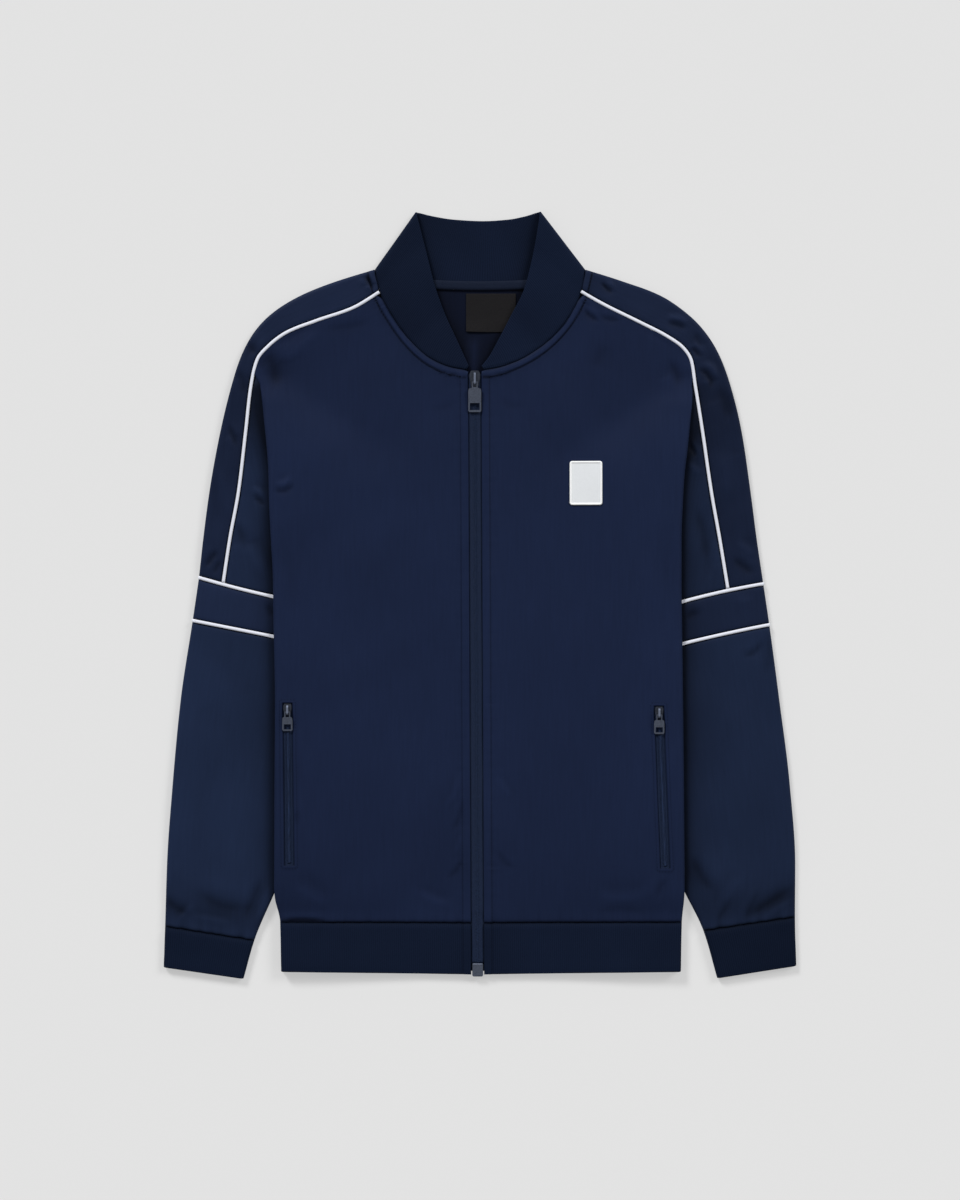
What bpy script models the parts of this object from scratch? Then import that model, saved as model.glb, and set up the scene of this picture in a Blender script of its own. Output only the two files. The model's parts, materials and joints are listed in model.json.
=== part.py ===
"""A zipped track jacket with a rib collar, laid flat on its back with its sleeves brought down beside the body.

Lengths in this file are millimetres until a mesh is made. X runs across the jacket, Y up from hem to collar
and Z up from the surface that it lies on. The sides are named as the wearer has them, so "left" is at +X.
Tables give x as the distance out from the middle, which SIGN turns to the side's own X.
"""

import math
from bisect import bisect_right

import bmesh
import bpy
import numpy as np

MM = 0.001
SIGN = {"right": -1, "left": 1}
SIDES = ("right", "left")

# Cloth and how it is stacked
CLOTH = 1.1  # tricot
RIB = 1.8  # doubled rib of hem and cuffs
COLLAR = 2.2  # doubled rib of the collar
SEAM = 0.3  # clearance between two pieces that are sewn together
LAYER = 0.3  # clearance between two layers that lie on each other
SLEEVE_HIGH = 6.5  # outer height of a sleeve lying flat
SLEEVE_RISE = 3.8  # how far the back's folded side lifts the sleeve that lies on it
SLEEVE_CROWN = 0.7  # how much a lifted sleeve's top gains
BACK_FOLD = 3.2  # outer height of the back's folded side
HEM_BACK_FOLD = 4.6  # the same in the thicker rib of the hem
FRONT_FOLD = 7.5  # outer height of the front's folded side
FRONT_FOLD_START = 2.6  # the same where the fold begins under the shoulder
HEM_FLATTER = 1.6  # how much lower the front's fold is at the hem
CENTRE_HIGH = 6.3  # outer height of the fronts along the zip
RISE_FROM = 45.0  # out from the middle, where a front starts to rise to its folded edge
RISE_LEVEL = 10.0  # in from the edge, where it has risen
# At the shoulder's end it rises over less, and over more further down
RISE_AT_SHOULDER, RISE_SPREADS_OVER = 45.0, 120.0
STITCHED_RAISE = 0.6  # what a topstitched seam allowance adds below the cloth
NECK_STITCH = 7.0  # from the collar seam to its topstitching
ZIP_STITCH = 8.0  # from a front's edge to its topstitching

# Piping
PIPING_WIDE = 3.6
PIPING_PROUD = 0.7
PIPING_SLOT = PIPING_WIDE / 2 + SEAM + 0.1  # from the piping's middle to the edge of the panel beside it
BAND_SLOT = PIPING_SLOT * 1.05  # the same measured down the jacket, at the slanting seams of the band
STRIPE_SLOT = PIPING_SLOT * 1.1  # the same at the stripe panel's lower end

# Heights in Y
HEM_SEAM = -327.5
HEM_END = -377.0
HEM_SAG = 3.0  # how much lower the hem hangs at the zip
BACK_NECK = 309.0
LIFT_FROM, LIFT_FULL = 212.0, 165.0  # the sleeve is lifted between these, down from the shoulder
LIFT_UNTIL, LIFT_GONE = -299.0, -340.0
HEM_DROP_FROM, HEM_DROP_TO = -299.0, -322.0  # clear of the sleeve, the folded sides come down to the hem
BACK_FOLD_START = 2.6  # height of the back's folded side where its edge has just turned right over
# Where the back's fold moves out under the sleeve, and over what length
BACK_OUT_FROM, BACK_OUT_RUN = 180.0, 13.0
FRONT_TURN_ABOVE, FRONT_TURN_RUN = 2.0, 10.0  # the front's edge turns under from just above the shoulder's end
SLEEVE_BELOW = 8.0  # from the shoulder's end down to where the upper sleeve starts
OFF_SLEEVE = 6.5  # past the sleeve's inner fold, where the front's folded side starts to come down
LIFT_RUN = 30.0  # out from the body's edge the sleeve comes down to the surface over this width

# Front zip
ZIP_TOP, ZIP_BOTTOM = 225.0, -382.0
ZIP_TOP_X, ZIP_BOTTOM_X = -5.3, -2.3  # the zip leans a little across the middle
ZIP_CHANNEL = 6.5  # half the width between the two fronts
TAPE_THICK = 1.0
TAPE_HALF = 13.0
COIL_HALF, COIL_HIGH = 2.7, 1.7
BOX_TOP = -368.8  # upper end of the box that joins the tapes at the hem
BOX_HALF = 5.4
BOX_HIGH = 3.4
ZIP_SLIDER_TOP, POCKET_SLIDER_TOP = 0.5, 0.5  # down from the coil's end to the slider's

# Shoulder stripe panel: from each row's seam with the front, over the fold at the jacket's outline, to its seam
# with the back, where that isn't under the first. Columns: outline x, y; front seam x, y; back seam x, y.
STRIPE = {
    "right": [
        (105.6, 326.2, 100.0, 303.8, 84.3, 315.2),
        (142.0, 315.0, 128.0, 287.2, 124.0, 292.5),
        (180.0, 300.0, 164.0, 274.7, 163.0, 276.0),
        (210.0, 281.0, 194.0, 262.8, 194.0, 262.8),
        (228.0, 261.0, 212.0, 249.3, 212.0, 249.3),
        (240.0, 238.0, 223.0, 236.0, 223.0, 236.0),
        (249.0, 210.0, 229.3, 210.0, 229.3, 210.0),
        (260.0, 165.0, 234.7, 163.0, 234.7, 163.0),
        (271.0, 105.0, 241.9, 103.0, 241.9, 103.0),
        (277.0, 60.0, 250.2, 58.0, 250.2, 58.0),
        (281.7, 17.5, 257.4, 10.7, 257.4, 10.7),
    ],
    "left": [
        (105.6, 326.2, 100.4, 304.3, 84.3, 315.2),
        (141.0, 315.0, 123.0, 291.5, 122.0, 293.5),
        (181.0, 300.0, 162.0, 272.2, 161.0, 274.0),
        (210.0, 280.0, 186.0, 259.9, 186.0, 259.9),
        (227.6, 261.0, 204.0, 247.0, 204.0, 247.0),
        (240.5, 239.0, 211.5, 235.0, 211.5, 235.0),
        (251.0, 210.0, 215.5, 210.0, 215.5, 210.0),
        (262.0, 165.0, 222.9, 163.0, 222.9, 163.0),
        (271.0, 105.0, 231.7, 103.0, 231.7, 103.0),
        (277.5, 55.0, 240.2, 55.0, 240.2, 55.0),
        (284.0, 11.3, 248.5, 4.6, 248.5, 4.6),
    ],
}

# Sleeve below the stripe panel, from the band's upper piping down. Columns: distance down the sleeve; outer fold
# x, y; inner fold x, y; how far the line across it bows up in its middle.
SLEEVE = {
    "right": [
        (0.0, 281.7, 17.5, 132.0, -15.0, -3.0),
        (43.0, 288.0, -25.5, 138.5, -55.0, 0.0),
        (123.0, 300.0, -105.0, 158.0, -137.0, 0.0),
        (211.0, 308.5, -195.0, 180.0, -220.0, 0.0),
        (280.0, 313.5, -265.0, 200.5, -285.0, 0.0),
        (344.0, 315.6, -332.0, 226.2, -346.3, 0.0),
        (384.5, 317.0, -373.0, 237.0, -384.6, 0.0),
    ],
    "left": [
        (0.0, 284.0, 11.3, 127.5, -31.0, 4.0),
        (42.0, 290.0, -29.7, 135.5, -67.0, 2.0),
        (120.0, 300.0, -105.0, 156.0, -140.0, 0.0),
        (205.0, 310.5, -190.0, 176.0, -220.0, 0.0),
        (284.0, 316.0, -270.0, 201.0, -289.0, 0.0),
        (335.0, 315.7, -322.7, 223.9, -336.4, 0.0),
        (383.0, 317.0, -371.6, 237.7, -384.0, 0.0),
    ],
}
BAND_LENGTH = {side: SLEEVE[side][1][0] for side in SIDES}
CUFF_SEAM = {side: SLEEVE[side][5][0] for side in SIDES}
CUFF_END = {side: SLEEVE[side][6][0] for side in SIDES}

# The body's outer edge, where its front folds under. Columns: y; x of the right edge; x of the left edge.
BODY_EDGE = [
    (228.0, 222.5, 211.5),
    (215.0, 221.0, 213.0),
    (195.0, 218.0, 212.5),
    (175.0, 216.0, 210.5),
    (145.0, 213.0, 207.5),
    (120.0, 211.5, 204.5),
    (95.0, 211.0, 203.0),
    (55.0, 209.0, 201.5),
    (15.0, 207.0, 201.5),
    (-25.0, 206.5, 202.0),
    (-105.0, 205.0, 203.0),
    (-205.0, 205.5, 204.0),
    (-297.0, 205.8, 204.5),
    (-327.5, 200.0, 202.0),
    (-377.0, 199.0, 201.0),
]

# How wide the side is that folds under. Down to the underarm its edge is the armhole seam, and below it the side
# seam. Columns: y; width.
TUCK = [
    (228.0, 2.2),
    (195.0, 6.0),
    (165.0, 12.0),
    (135.0, 19.0),
    (95.0, 31.0),
    (45.0, 48.0),
    (5.0, 65.0),
    (-20.0, 75.0),
    (-170.0, 68.0),
    (-377.0, 55.0),
]

# Collar seam along a front, from the shoulder fold to the zip, and the collar's inner edge beside it, from the
# corner of the collar to the zip. Columns: seam x, y; edge x, y.
COLLAR_FRONT = {
    "right": [
        (105.0, 326.5, 64.2, 384.0),
        (99.0, 302.0, 54.3, 346.0),
        (85.0, 276.0, 45.5, 311.0),
        (66.0, 251.0, 34.0, 279.0),
        (47.0, 235.5, 24.5, 258.5),
        (28.0, 227.8, 16.0, 240.0),
        (14.0, 225.3, 11.2, 229.5),
    ],
    "left": [
        (105.0, 326.5, 60.5, 384.6),
        (100.5, 303.5, 54.0, 345.0),
        (86.6, 276.0, 44.0, 306.0),
        (63.0, 250.5, 31.0, 280.0),
        (38.0, 235.0, 17.5, 254.0),
        (17.0, 227.5, 8.5, 238.0),
        (4.0, 225.3, 1.6, 229.5),
    ],
}
# Collar across the back neck, from the right fold to the left. Columns: seam x, y; top edge x, y.
COLLAR_BACK = [
    (-105.0, 326.5, -64.2, 384.0),
    (-84.0, 316.0, -48.0, 380.0),
    (-50.0, 310.5, -26.0, 376.5),
    (0.0, 309.0, 3.0, 375.0),
    (50.0, 310.5, 28.0, 376.5),
    (84.0, 316.0, 46.0, 380.0),
    (105.0, 326.5, 60.5, 384.6),
]
COLLAR_HIGH = 8.2
COLLAR_SIDE = 105.0  # x of the collar's fold at its seam
COLLAR_BACK_BESIDE = 84.0  # x of the row of COLLAR_BACK beside the fold
COLLAR_ZIP_DROP = 0.9  # how much lower the collar's face is at the zip than at its fold
COLLAR_ARC = 0.12  # share of half the collar's length on which it turns over at the fold
COLLAR_SETTLES = 0.35  # share of the rest of it on which its plan settles past the fold

# Neck tape. Columns: offset from the collar seam and height of the tape's upper face.
NECK_TAPE = [(7.5, 3.5), (0.6, 3.5), (-0.9, 3.5), (-6.4, 2.5)]
NECK_TAPE_END = 76.0

# Pocket zips. x is measured out from the middle at the top and bottom of the opening.
POCKET = {
    "right": {"top": -108.0, "bottom": -270.0, "x_top": 192.3, "x_bottom": 190.4},
    "left": {"top": -111.0, "bottom": -273.0, "x_top": 178.6, "x_bottom": 185.0},
}
POCKET_HALF = 4.8  # half the width of the opening
POCKET_TAPE_HALF = 7.5
POCKET_COIL_HALF, POCKET_COIL_HIGH = 2.2, 1.3
POCKET_SLOT_LOW, POCKET_SLOT_HIGH = 10.4, 24.0  # between the front's folded side and its face, to above the face
POCKET_SLOT_CORNER = 1.5
POCKET_UNDER = 0.6  # from the front's inner face to the tape, which its coarser facets cross less than this

# Chest patch, on the left front
PATCH_X, PATCH_Y = 106.0, 112.0
PATCH_WIDE, PATCH_TALL = 32.6, 44.2
PATCH_CORNER = 2.6
PATCH_THICK, PATCH_RIM, PATCH_RIM_PROUD = 1.1, 1.8, 0.5
PATCH_BEVEL = 0.4  # of its rim
PATCH_MIDDLE = 9.0  # inset of the loop in its middle, so that its face follows the cloth

# Label inside the back neck
LABEL_LEFT, LABEL_RIGHT = -14.0, 36.0
LABEL_TOP, LABEL_BOTTOM = 302.2, 264.0
LABEL_THICK = 0.7
LABEL_HIGH = 2.1  # its upper face
LABEL_CURL, LABEL_CURLS_BELOW = 0.5, 280.0  # its lower edge stands this much higher


# ---------------------------------------------------------------------------------------------------- curves


def smooth(share):
    share = min(max(share, 0.0), 1.0)
    return share * share * (3.0 - 2.0 * share)


def mix(a, b, share):
    return np.asarray(a, float) * (1.0 - share) + np.asarray(b, float) * share


def slopes_of(keys, values):
    """Slopes of a smooth curve through the rows that never swings past them."""
    steps = np.diff(keys)
    secants = np.diff(values, axis=0) / steps[:, None]
    slopes = np.zeros_like(values)
    slopes[0], slopes[-1] = secants[0], secants[-1]
    for i in range(1, len(keys) - 1):
        before, after = secants[i - 1], secants[i]
        same = before * after > 0
        w1, w2 = 2 * steps[i] + steps[i - 1], steps[i] + 2 * steps[i - 1]
        safe_before = np.where(same, before, 1.0)
        safe_after = np.where(same, after, 1.0)
        slopes[i] = np.where(same, (w1 + w2) / (w1 / safe_before + w2 / safe_after), 0.0)
    return slopes


class Curve:
    """A smooth curve through table rows whose first column rises."""

    def __init__(self, rows):
        rows = np.asarray(sorted(rows, key=lambda row: row[0]), float)
        self.keys, self.values = rows[:, 0], rows[:, 1:]
        self.slopes = slopes_of(self.keys, self.values)

    def __call__(self, key):
        key = min(max(key, self.keys[0]), self.keys[-1])
        i = min(bisect_right(self.keys, key), len(self.keys) - 1) - 1
        step = self.keys[i + 1] - self.keys[i]
        f = (key - self.keys[i]) / step
        a, b = self.values[i], self.values[i + 1]
        return (
            a * (1 + 2 * f) * (1 - f) ** 2
            + b * f * f * (3 - 2 * f)
            + self.slopes[i] * step * f * (1 - f) ** 2
            - self.slopes[i + 1] * step * f * f * (1 - f)
        )


def by_length(rows, columns):
    """The rows keyed by the length run along the path in the given pair of columns."""
    path = np.asarray(rows, float)[:, columns]
    run = np.concatenate([[0.0], np.cumsum(np.linalg.norm(np.diff(path, axis=0), axis=1))])
    return Curve([(length, *row) for length, row in zip(run, rows)])


EDGE_CURVE = Curve(BODY_EDGE)
TUCK_CURVE = Curve(TUCK)
STRIPE_CURVE = {side: by_length(STRIPE[side], [2, 3]) for side in SIDES}
STRIPE_LENGTH = {side: STRIPE_CURVE[side].keys[-1] for side in SIDES}
SLEEVE_CURVE = {side: Curve(SLEEVE[side]) for side in SIDES}
INNER_FOLD_CURVE = {side: Curve([(row[4], row[3]) for row in SLEEVE[side]]) for side in SIDES}
NECK_CURVE = {side: by_length(COLLAR_FRONT[side], [0, 1]) for side in SIDES}
BACK_NECK_CURVE = Curve(COLLAR_BACK)


def station_at_height(curve, y, column=1):
    """The key at which a path's falling y column passes the given height."""
    low, high = curve.keys[0], curve.keys[-1]
    for _ in range(40):
        middle = (low + high) / 2
        if curve(middle)[column] > y:
            low = middle
        else:
            high = middle
    return (low + high) / 2


def edge_x(side, y):
    return EDGE_CURVE(y)[SIDES.index(side)]


def tuck(y):
    return TUCK_CURVE(y)[0]


def inner_fold_x(side, y):
    """The sleeve's inner fold under the body at this height."""
    return INNER_FOLD_CURVE[side](y)[0]


def zip_x(y):
    return ZIP_BOTTOM_X + (ZIP_TOP_X - ZIP_BOTTOM_X) * (y - ZIP_BOTTOM) / (ZIP_TOP - ZIP_BOTTOM)


# ---------------------------------------------------------------------------------------------------- heights


def lift(y):
    return smooth((LIFT_FROM - y) / (LIFT_FROM - LIFT_FULL)) * smooth((y - LIFT_GONE) / (LIFT_UNTIL - LIFT_GONE))


def hem_drop(y):
    return smooth((HEM_DROP_FROM - y) / (HEM_DROP_FROM - HEM_DROP_TO))


def lifted(side, x, y):
    return lift(y) * (1.0 - smooth((x - edge_x(side, y)) / LIFT_RUN))


def sleeve_low(side, x, y):
    """Height of the sleeve's under face."""
    return SLEEVE_RISE * lifted(side, x, y)


def sleeve_top(side, x, y):
    """Height of the sleeve's upper face."""
    return SLEEVE_HIGH + SLEEVE_CROWN * lifted(side, x, y)


def front_low(side, x, y):
    """Height of the under face of the front's folded side. Past the sleeve it comes down to the back's."""
    on_sleeve = SLEEVE_HIGH + SLEEVE_CROWN * lift(y) + LAYER
    on_back = BACK_FOLD + LAYER
    if y < HEM_DROP_FROM:
        return on_sleeve + (HEM_BACK_FOLD + LAYER - on_sleeve) * hem_drop(y)
    room = inner_fold_x(side, y) - (edge_x(side, y) - tuck(y))
    if y > SLEEVE[side][0][4] or room < 8.0:
        return on_sleeve
    down = smooth((inner_fold_x(side, y) - OFF_SLEEVE - x) / (room - OFF_SLEEVE)) * smooth((room - 8.0) / 10.0)
    return on_sleeve + (on_back - on_sleeve) * down


def fold_height(side, y):
    top = shoulder_y(side)
    grown = smooth((top - y) / 85.0)
    height = FRONT_FOLD_START + (FRONT_FOLD - FRONT_FOLD_START) * grown
    return height - HEM_FLATTER * smooth((HEM_DROP_FROM + 30.0 - y) / 60.0)


def front_turn(side, y):
    """How far the front's edge has turned under at this height: 0 flat, 1 right over."""
    return smooth((shoulder_y(side) + FRONT_TURN_ABOVE - y) / FRONT_TURN_RUN)


def front_edge_high(side, y):
    """Height of the front's upper face at the body's edge."""
    folded = front_low(side, edge_x(side, y), y) + fold_height(side, y)
    return SLEEVE_HIGH + (folded - SLEEVE_HIGH) * front_turn(side, y)


def front_high(side, x, y):
    """Height of a front's upper face, without its raised seam edges."""
    edge = edge_x(side, min(y, shoulder_y(side)))
    reach = mix(RISE_AT_SHOULDER, edge - RISE_FROM, smooth((shoulder_y(side) - y) / RISE_SPREADS_OVER))
    share = smooth((x - edge + reach) / (reach - RISE_LEVEL))
    return CENTRE_HIGH + (front_edge_high(side, y) - CENTRE_HIGH) * share


def shoulder_y(side):
    """Where the front's fold begins, at the piping."""
    return 222.0 if side == "right" else 218.0


# ---------------------------------------------------------------------------------------------------- meshes


def collection(name, hidden=False):
    made = bpy.data.collections.new(name)
    bpy.context.scene.collection.children.link(made)
    made.hide_render = hidden
    return made


def clear_scene():
    for obj in list(bpy.data.objects):
        bpy.data.objects.remove(obj, do_unlink=True)


def material(name, colour, roughness, metallic=0.0):
    made = bpy.data.materials.new(name)
    made.use_nodes = True
    shader = made.node_tree.nodes["Principled BSDF"]
    shader.inputs["Base Color"].default_value = (*colour, 1.0)
    shader.inputs["Roughness"].default_value = roughness
    shader.inputs["Metallic"].default_value = metallic
    return made


def add_object(name, points, faces, finish, where):
    mesh = bpy.data.meshes.new(name)
    mesh.from_pydata([tuple(float(v) * MM for v in point) for point in points], [], faces)
    mesh.validate()
    mesh.materials.append(finish)
    obj = bpy.data.objects.new(name, mesh)
    where.objects.link(obj)
    return obj


def grid_faces(rows, columns, ring=False, flip=False):
    faces = []
    for i in range(rows - 1):
        for j in range(columns if ring else columns - 1):
            k = (j + 1) % columns
            face = (i * columns + j, i * columns + k, (i + 1) * columns + k, (i + 1) * columns + j)
            faces.append(face[::-1] if flip else face)
    return faces


def sheet(name, grid, thickness, finish, where, ring=False, flip=False):
    """A cloth wall whose outer face passes through the grid's points."""
    rows, columns = len(grid), len(grid[0])
    points = [point for row in grid for point in row]
    obj = add_object(name, points, grid_faces(rows, columns, ring, flip), finish, where)
    wall = obj.modifiers.new("Wall", "SOLIDIFY")
    wall.thickness = thickness * MM
    wall.offset = -1.0
    wall.use_even_offset = True
    obj.data.shade_smooth()
    return obj


def tube(name, sections, finish, where, ring=False):
    """A solid through closed sections, with flat ends unless it runs round on itself."""
    count, sides = len(sections), len(sections[0])
    points = [point for section in sections for point in section]
    faces = []
    for i in range(count if ring else count - 1):
        for j in range(sides):
            a, b = i * sides, ((i + 1) % count) * sides
            k = (j + 1) % sides
            faces.append((a + j, a + k, b + k, b + j))
    if not ring:
        faces.append(tuple(range(sides))[::-1])
        faces.append(tuple(range((count - 1) * sides, count * sides)))
    return add_object(name, points, faces, finish, where)


def block(name, outline, low, high, finish, where):
    """A plate of a closed plan outline."""
    sections = [[(x, y, z) for x, y in outline] for z in (low, high)]
    return tube(name, sections, finish, where)


def spread(count, start=0.0, end=1.0):
    return [start + (end - start) * i / (count - 1) for i in range(count)]


# ---------------------------------------------------------------------------------------------------- sections


def place(side, x, y, z):
    return (SIGN[side] * x, y, z)


def wrap(outer, inward, high, low, share):
    """A point on the half-round fold at an edge: share 0 is at the height high, 1 at the height low."""
    radius = (high - low) / 2
    angle = math.pi / 2 - math.pi * share
    plan = np.asarray(outer, float) + np.asarray(inward, float) * abs(radius) * (1 - math.cos(angle))
    return plan, (high + low) / 2 + radius * math.sin(angle)


def unit(vector):
    vector = np.asarray(vector, float)
    return vector / np.linalg.norm(vector)


def neck_raise(distance, width, span):
    """What the allowance under a topstitched edge adds to the height."""
    return STITCHED_RAISE * (1.0 - smooth((distance - width) / span))


FRONT_SEAM, BACK_SEAM = (2, 3), (4, 5)  # columns of STRIPE_CURVE


def seam_at(side, station, columns):
    """A point on a long seam of the stripe panel, the way that the seam runs there and the way out from it."""
    curve = STRIPE_CURVE[side]
    here, ahead, behind = (
        np.array([curve(min(max(station + step, 0.0), STRIPE_LENGTH[side]))[c] for c in columns])
        for step in (0.0, 1.5, -1.5)
    )
    run = unit(ahead - behind)
    return here, run, np.array((-run[1], run[0]))


def seam_edge(side, station, columns, outward):
    """The edge of the panel beside the long piping: the stripe panel's at outward 1, its neighbour's at -1."""
    here, _, out = seam_at(side, station, columns)
    return here + out * PIPING_SLOT * outward


def stripe_point(side, station, share):
    """The stripe panel: share 0 is its front seam, 0.4 to 0.6 the outline's fold and 1 its back seam."""
    outline = STRIPE_CURVE[side](station)[:2]
    front = seam_edge(side, station, FRONT_SEAM, 1)
    back = seam_edge(side, station, BACK_SEAM, 1)
    out_front, out_back = unit(outline - front), unit(outline - back)
    high, low = sleeve_top(side, *outline), sleeve_low(side, *outline)
    radius = (high - low) / 2
    near_neck = neck_raise(station, NECK_STITCH, 2.5)
    if share <= 0.4:
        plan = mix(front, outline - out_front * radius, share / 0.4)
        z = sleeve_top(side, *plan) + near_neck
    elif share < 0.6:
        inward = -mix(out_front, out_back, (share - 0.4) / 0.2)
        plan, z = wrap(outline, inward, high + near_neck, low, (share - 0.4) / 0.2)
    else:
        plan = mix(outline - out_back * radius, back, (share - 0.6) / 0.4)
        z = sleeve_low(side, *plan)
    return place(side, plan[0], plan[1], z)


def across_sleeve(side, distance):
    """Outer and inner ends of the line across the sleeve, and its bow."""
    ox, oy, ix, iy, bow = SLEEVE_CURVE[side](distance)
    return np.array((ox, oy)), np.array((ix, iy)), bow


KNOT_SHARES = spread(6)
KNOTS_OUT = (30.0, 20.0, 10.0, 0.0)  # out from the body's edge, where the sleeve's rise over it needs columns
KNOT_ROOM = 0.03


def across_knots(side, outer, inner, share):
    """How far from outer to inner a column is. Columns follow the line where the sleeve rises at the body."""
    edge = edge_x(side, (outer[1] + inner[1]) / 2)
    places = [0.0]
    for i, out in enumerate(KNOTS_OUT):
        place_of_edge = (outer[0] - edge - out) / (outer[0] - inner[0])
        last = len(KNOTS_OUT) - i
        places.append(min(max(place_of_edge, KNOT_ROOM * (i + 1)), 1.0 - KNOT_ROOM * last))
    places.append(1.0)
    return float(np.interp(share, KNOT_SHARES, places))


def ring_point(side, distance, share):
    """Round the sleeve: to 0.4 its upper face from outer to inner fold, to 0.5 the inner fold, to 0.9 under."""
    outer, inner, bow = across_sleeve(side, distance)
    inward = unit(inner - outer)
    width = np.linalg.norm(inner - outer)
    ro = (sleeve_top(side, *outer) - sleeve_low(side, *outer)) / 2
    ri = (sleeve_top(side, *inner) - sleeve_low(side, *inner)) / 2
    if share <= 0.4 or 0.5 <= share <= 0.9:
        f = across_knots(side, outer, inner, share / 0.4 if share <= 0.4 else 1.0 - (share - 0.5) / 0.4)
        along = ro + (width - ro - ri) * f
        plan = outer + inward * along
        level = sleeve_top if share <= 0.4 else sleeve_low
        f_bow = along / width
        plan = plan + np.array((0.0, bow * 4 * f_bow * (1 - f_bow)))
        return place(side, plan[0], plan[1], level(side, *plan))
    if share < 0.5:
        plan, z = wrap(inner, -inward, sleeve_top(side, *inner), sleeve_low(side, *inner), (share - 0.4) / 0.1)
    else:
        high, low = sleeve_top(side, *outer), sleeve_low(side, *outer)
        plan, z = wrap(outer, inward, high, low, 1.0 - (share - 0.9) / 0.1)
    return place(side, plan[0], plan[1], z)


RING_SHARES = spread(6, 0.0, 0.4) + spread(5, 0.4, 0.5)[1:-1] + spread(6, 0.5, 0.9) + spread(5, 0.9, 1.0)[1:-1]
STRIPE_SHARES = spread(4, 0.0, 0.4) + spread(6, 0.4, 0.6)[1:-1] + spread(3, 0.6, 1.0)
FRONT_FIRST_STATION = 4.5  # where a front's upper corner meets the long piping


def yoke_stations(side):
    """Places along the long seams down to the shoulder's end, shared by all that meets there."""
    end = station_at_height(STRIPE_CURVE[side], shoulder_y(side), column=3)
    return [FRONT_FIRST_STATION, NECK_STITCH, NECK_STITCH + 3.0] + spread(8, 26.0, end)


def long_stations(side):
    yoke = yoke_stations(side)
    sleeve = station_at_height(STRIPE_CURVE[side], shoulder_y(side) - SLEEVE_BELOW, column=3)
    return [1.0] + yoke + spread(7, sleeve, STRIPE_LENGTH[side] - STRIPE_SLOT)


def stripe_grid(side):
    return [[stripe_point(side, station, share) for share in STRIPE_SHARES] for station in long_stations(side)]


def armhole_point(side, y):
    return np.array((edge_x(side, y) - tuck(y), y))


def band_line(side, x):
    """Height in Y of the band's upper seam at x."""
    outer, inner, bow = across_sleeve(side, 0.0)
    f = (outer[0] - x) / (outer[0] - inner[0])
    return outer[1] + (inner[1] - outer[1]) * f + bow * 4 * f * (1 - f)


def upper_sleeve_point(side, run, share, under):
    """The sleeve piece between the stripe panel (share 0) and the armhole (share 1), from shoulder to band."""
    top = shoulder_y(side) - SLEEVE_BELOW
    first = station_at_height(STRIPE_CURVE[side], top, column=3)
    last = STRIPE_LENGTH[side] - PIPING_SLOT

    def row_ends(at):
        far_y = mix(top, SLEEVE[side][0][4] + BAND_SLOT, at)
        return seam_edge(side, mix(first, last, at), FRONT_SEAM, -1), armhole_point(side, far_y)

    near, far = row_ends(run)
    f = across_knots(side, near, far, share)
    plan = mix(near, far, f)
    end = mix(*row_ends(1.0), f)
    plan[1] += (band_line(side, end[0]) + BAND_SLOT - end[1]) * run ** 3
    level = sleeve_low if under else sleeve_top
    return place(side, plan[0], plan[1], level(side, *plan))


# Distances down the armhole at which the upper sleeve has a row
SLEEVE_STEPS = (0.0, 7.0, 14.0, 21.0, 28.0, 35.0, 43.0, 54.0, 80.0, 115.0, 155.0, 195.0)


def upper_sleeve_grid(side, under):
    length = shoulder_y(side) - SLEEVE_BELOW - SLEEVE[side][0][4] - BAND_SLOT
    runs = [step / length for step in SLEEVE_STEPS] + [1.0]
    return [[upper_sleeve_point(side, run, share, under) for share in KNOT_SHARES] for run in runs]


def neck_seam(side, share, off=0.0):
    """A point on a front's collar seam, from near the shoulder fold at 0 to the zip at 1, moved out from it."""
    curve = NECK_CURVE[side]
    key = curve.keys[-1] * share
    here, ahead = curve(key)[:2], curve(min(key + 1.0, curve.keys[-1]))[:2]
    behind = curve(max(key - 1.0, 0.0))[:2]
    run = unit(ahead - behind)
    away = np.array((-run[1], run[0]))
    return here + away * off


NECK_FIRST, NECK_LAST = 0.225, 0.985  # shares of the collar seam between which a front is sewn to it
NECK_GAP = 0.5  # the seam's clearance, which the facets on either side narrow


def front_row(side, run):
    """Where a row across a front starts and ends. Run 0 to 1 is the yoke, 1 to 2 from shoulder to hem."""
    top = shoulder_y(side)
    if run <= 1.0:
        start = neck_seam(side, mix(NECK_FIRST, NECK_LAST, run), NECK_GAP)
        return start, seam_edge(side, mix(FRONT_FIRST_STATION, yoke_stations(side)[-1], run), FRONT_SEAM, -1)
    y = mix(top, HEM_SEAM + SEAM, run - 1.0)
    start_y = mix(neck_seam(side, NECK_LAST, NECK_GAP)[1], HEM_SEAM + SEAM - HEM_SAG * 0.4, run - 1.0)
    start_x = ZIP_CHANNEL + SIGN[side] * zip_x(start_y)
    return np.array((start_x, start_y)), np.array((edge_x(side, y), y))


FACE, ARC = 0.62, 0.80
FLAT_ARC = 3.0  # where a row lies flat, this much near its end is what turns further down
LEAST_TURN = 0.02
LEAST_LEG = 0.6


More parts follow.
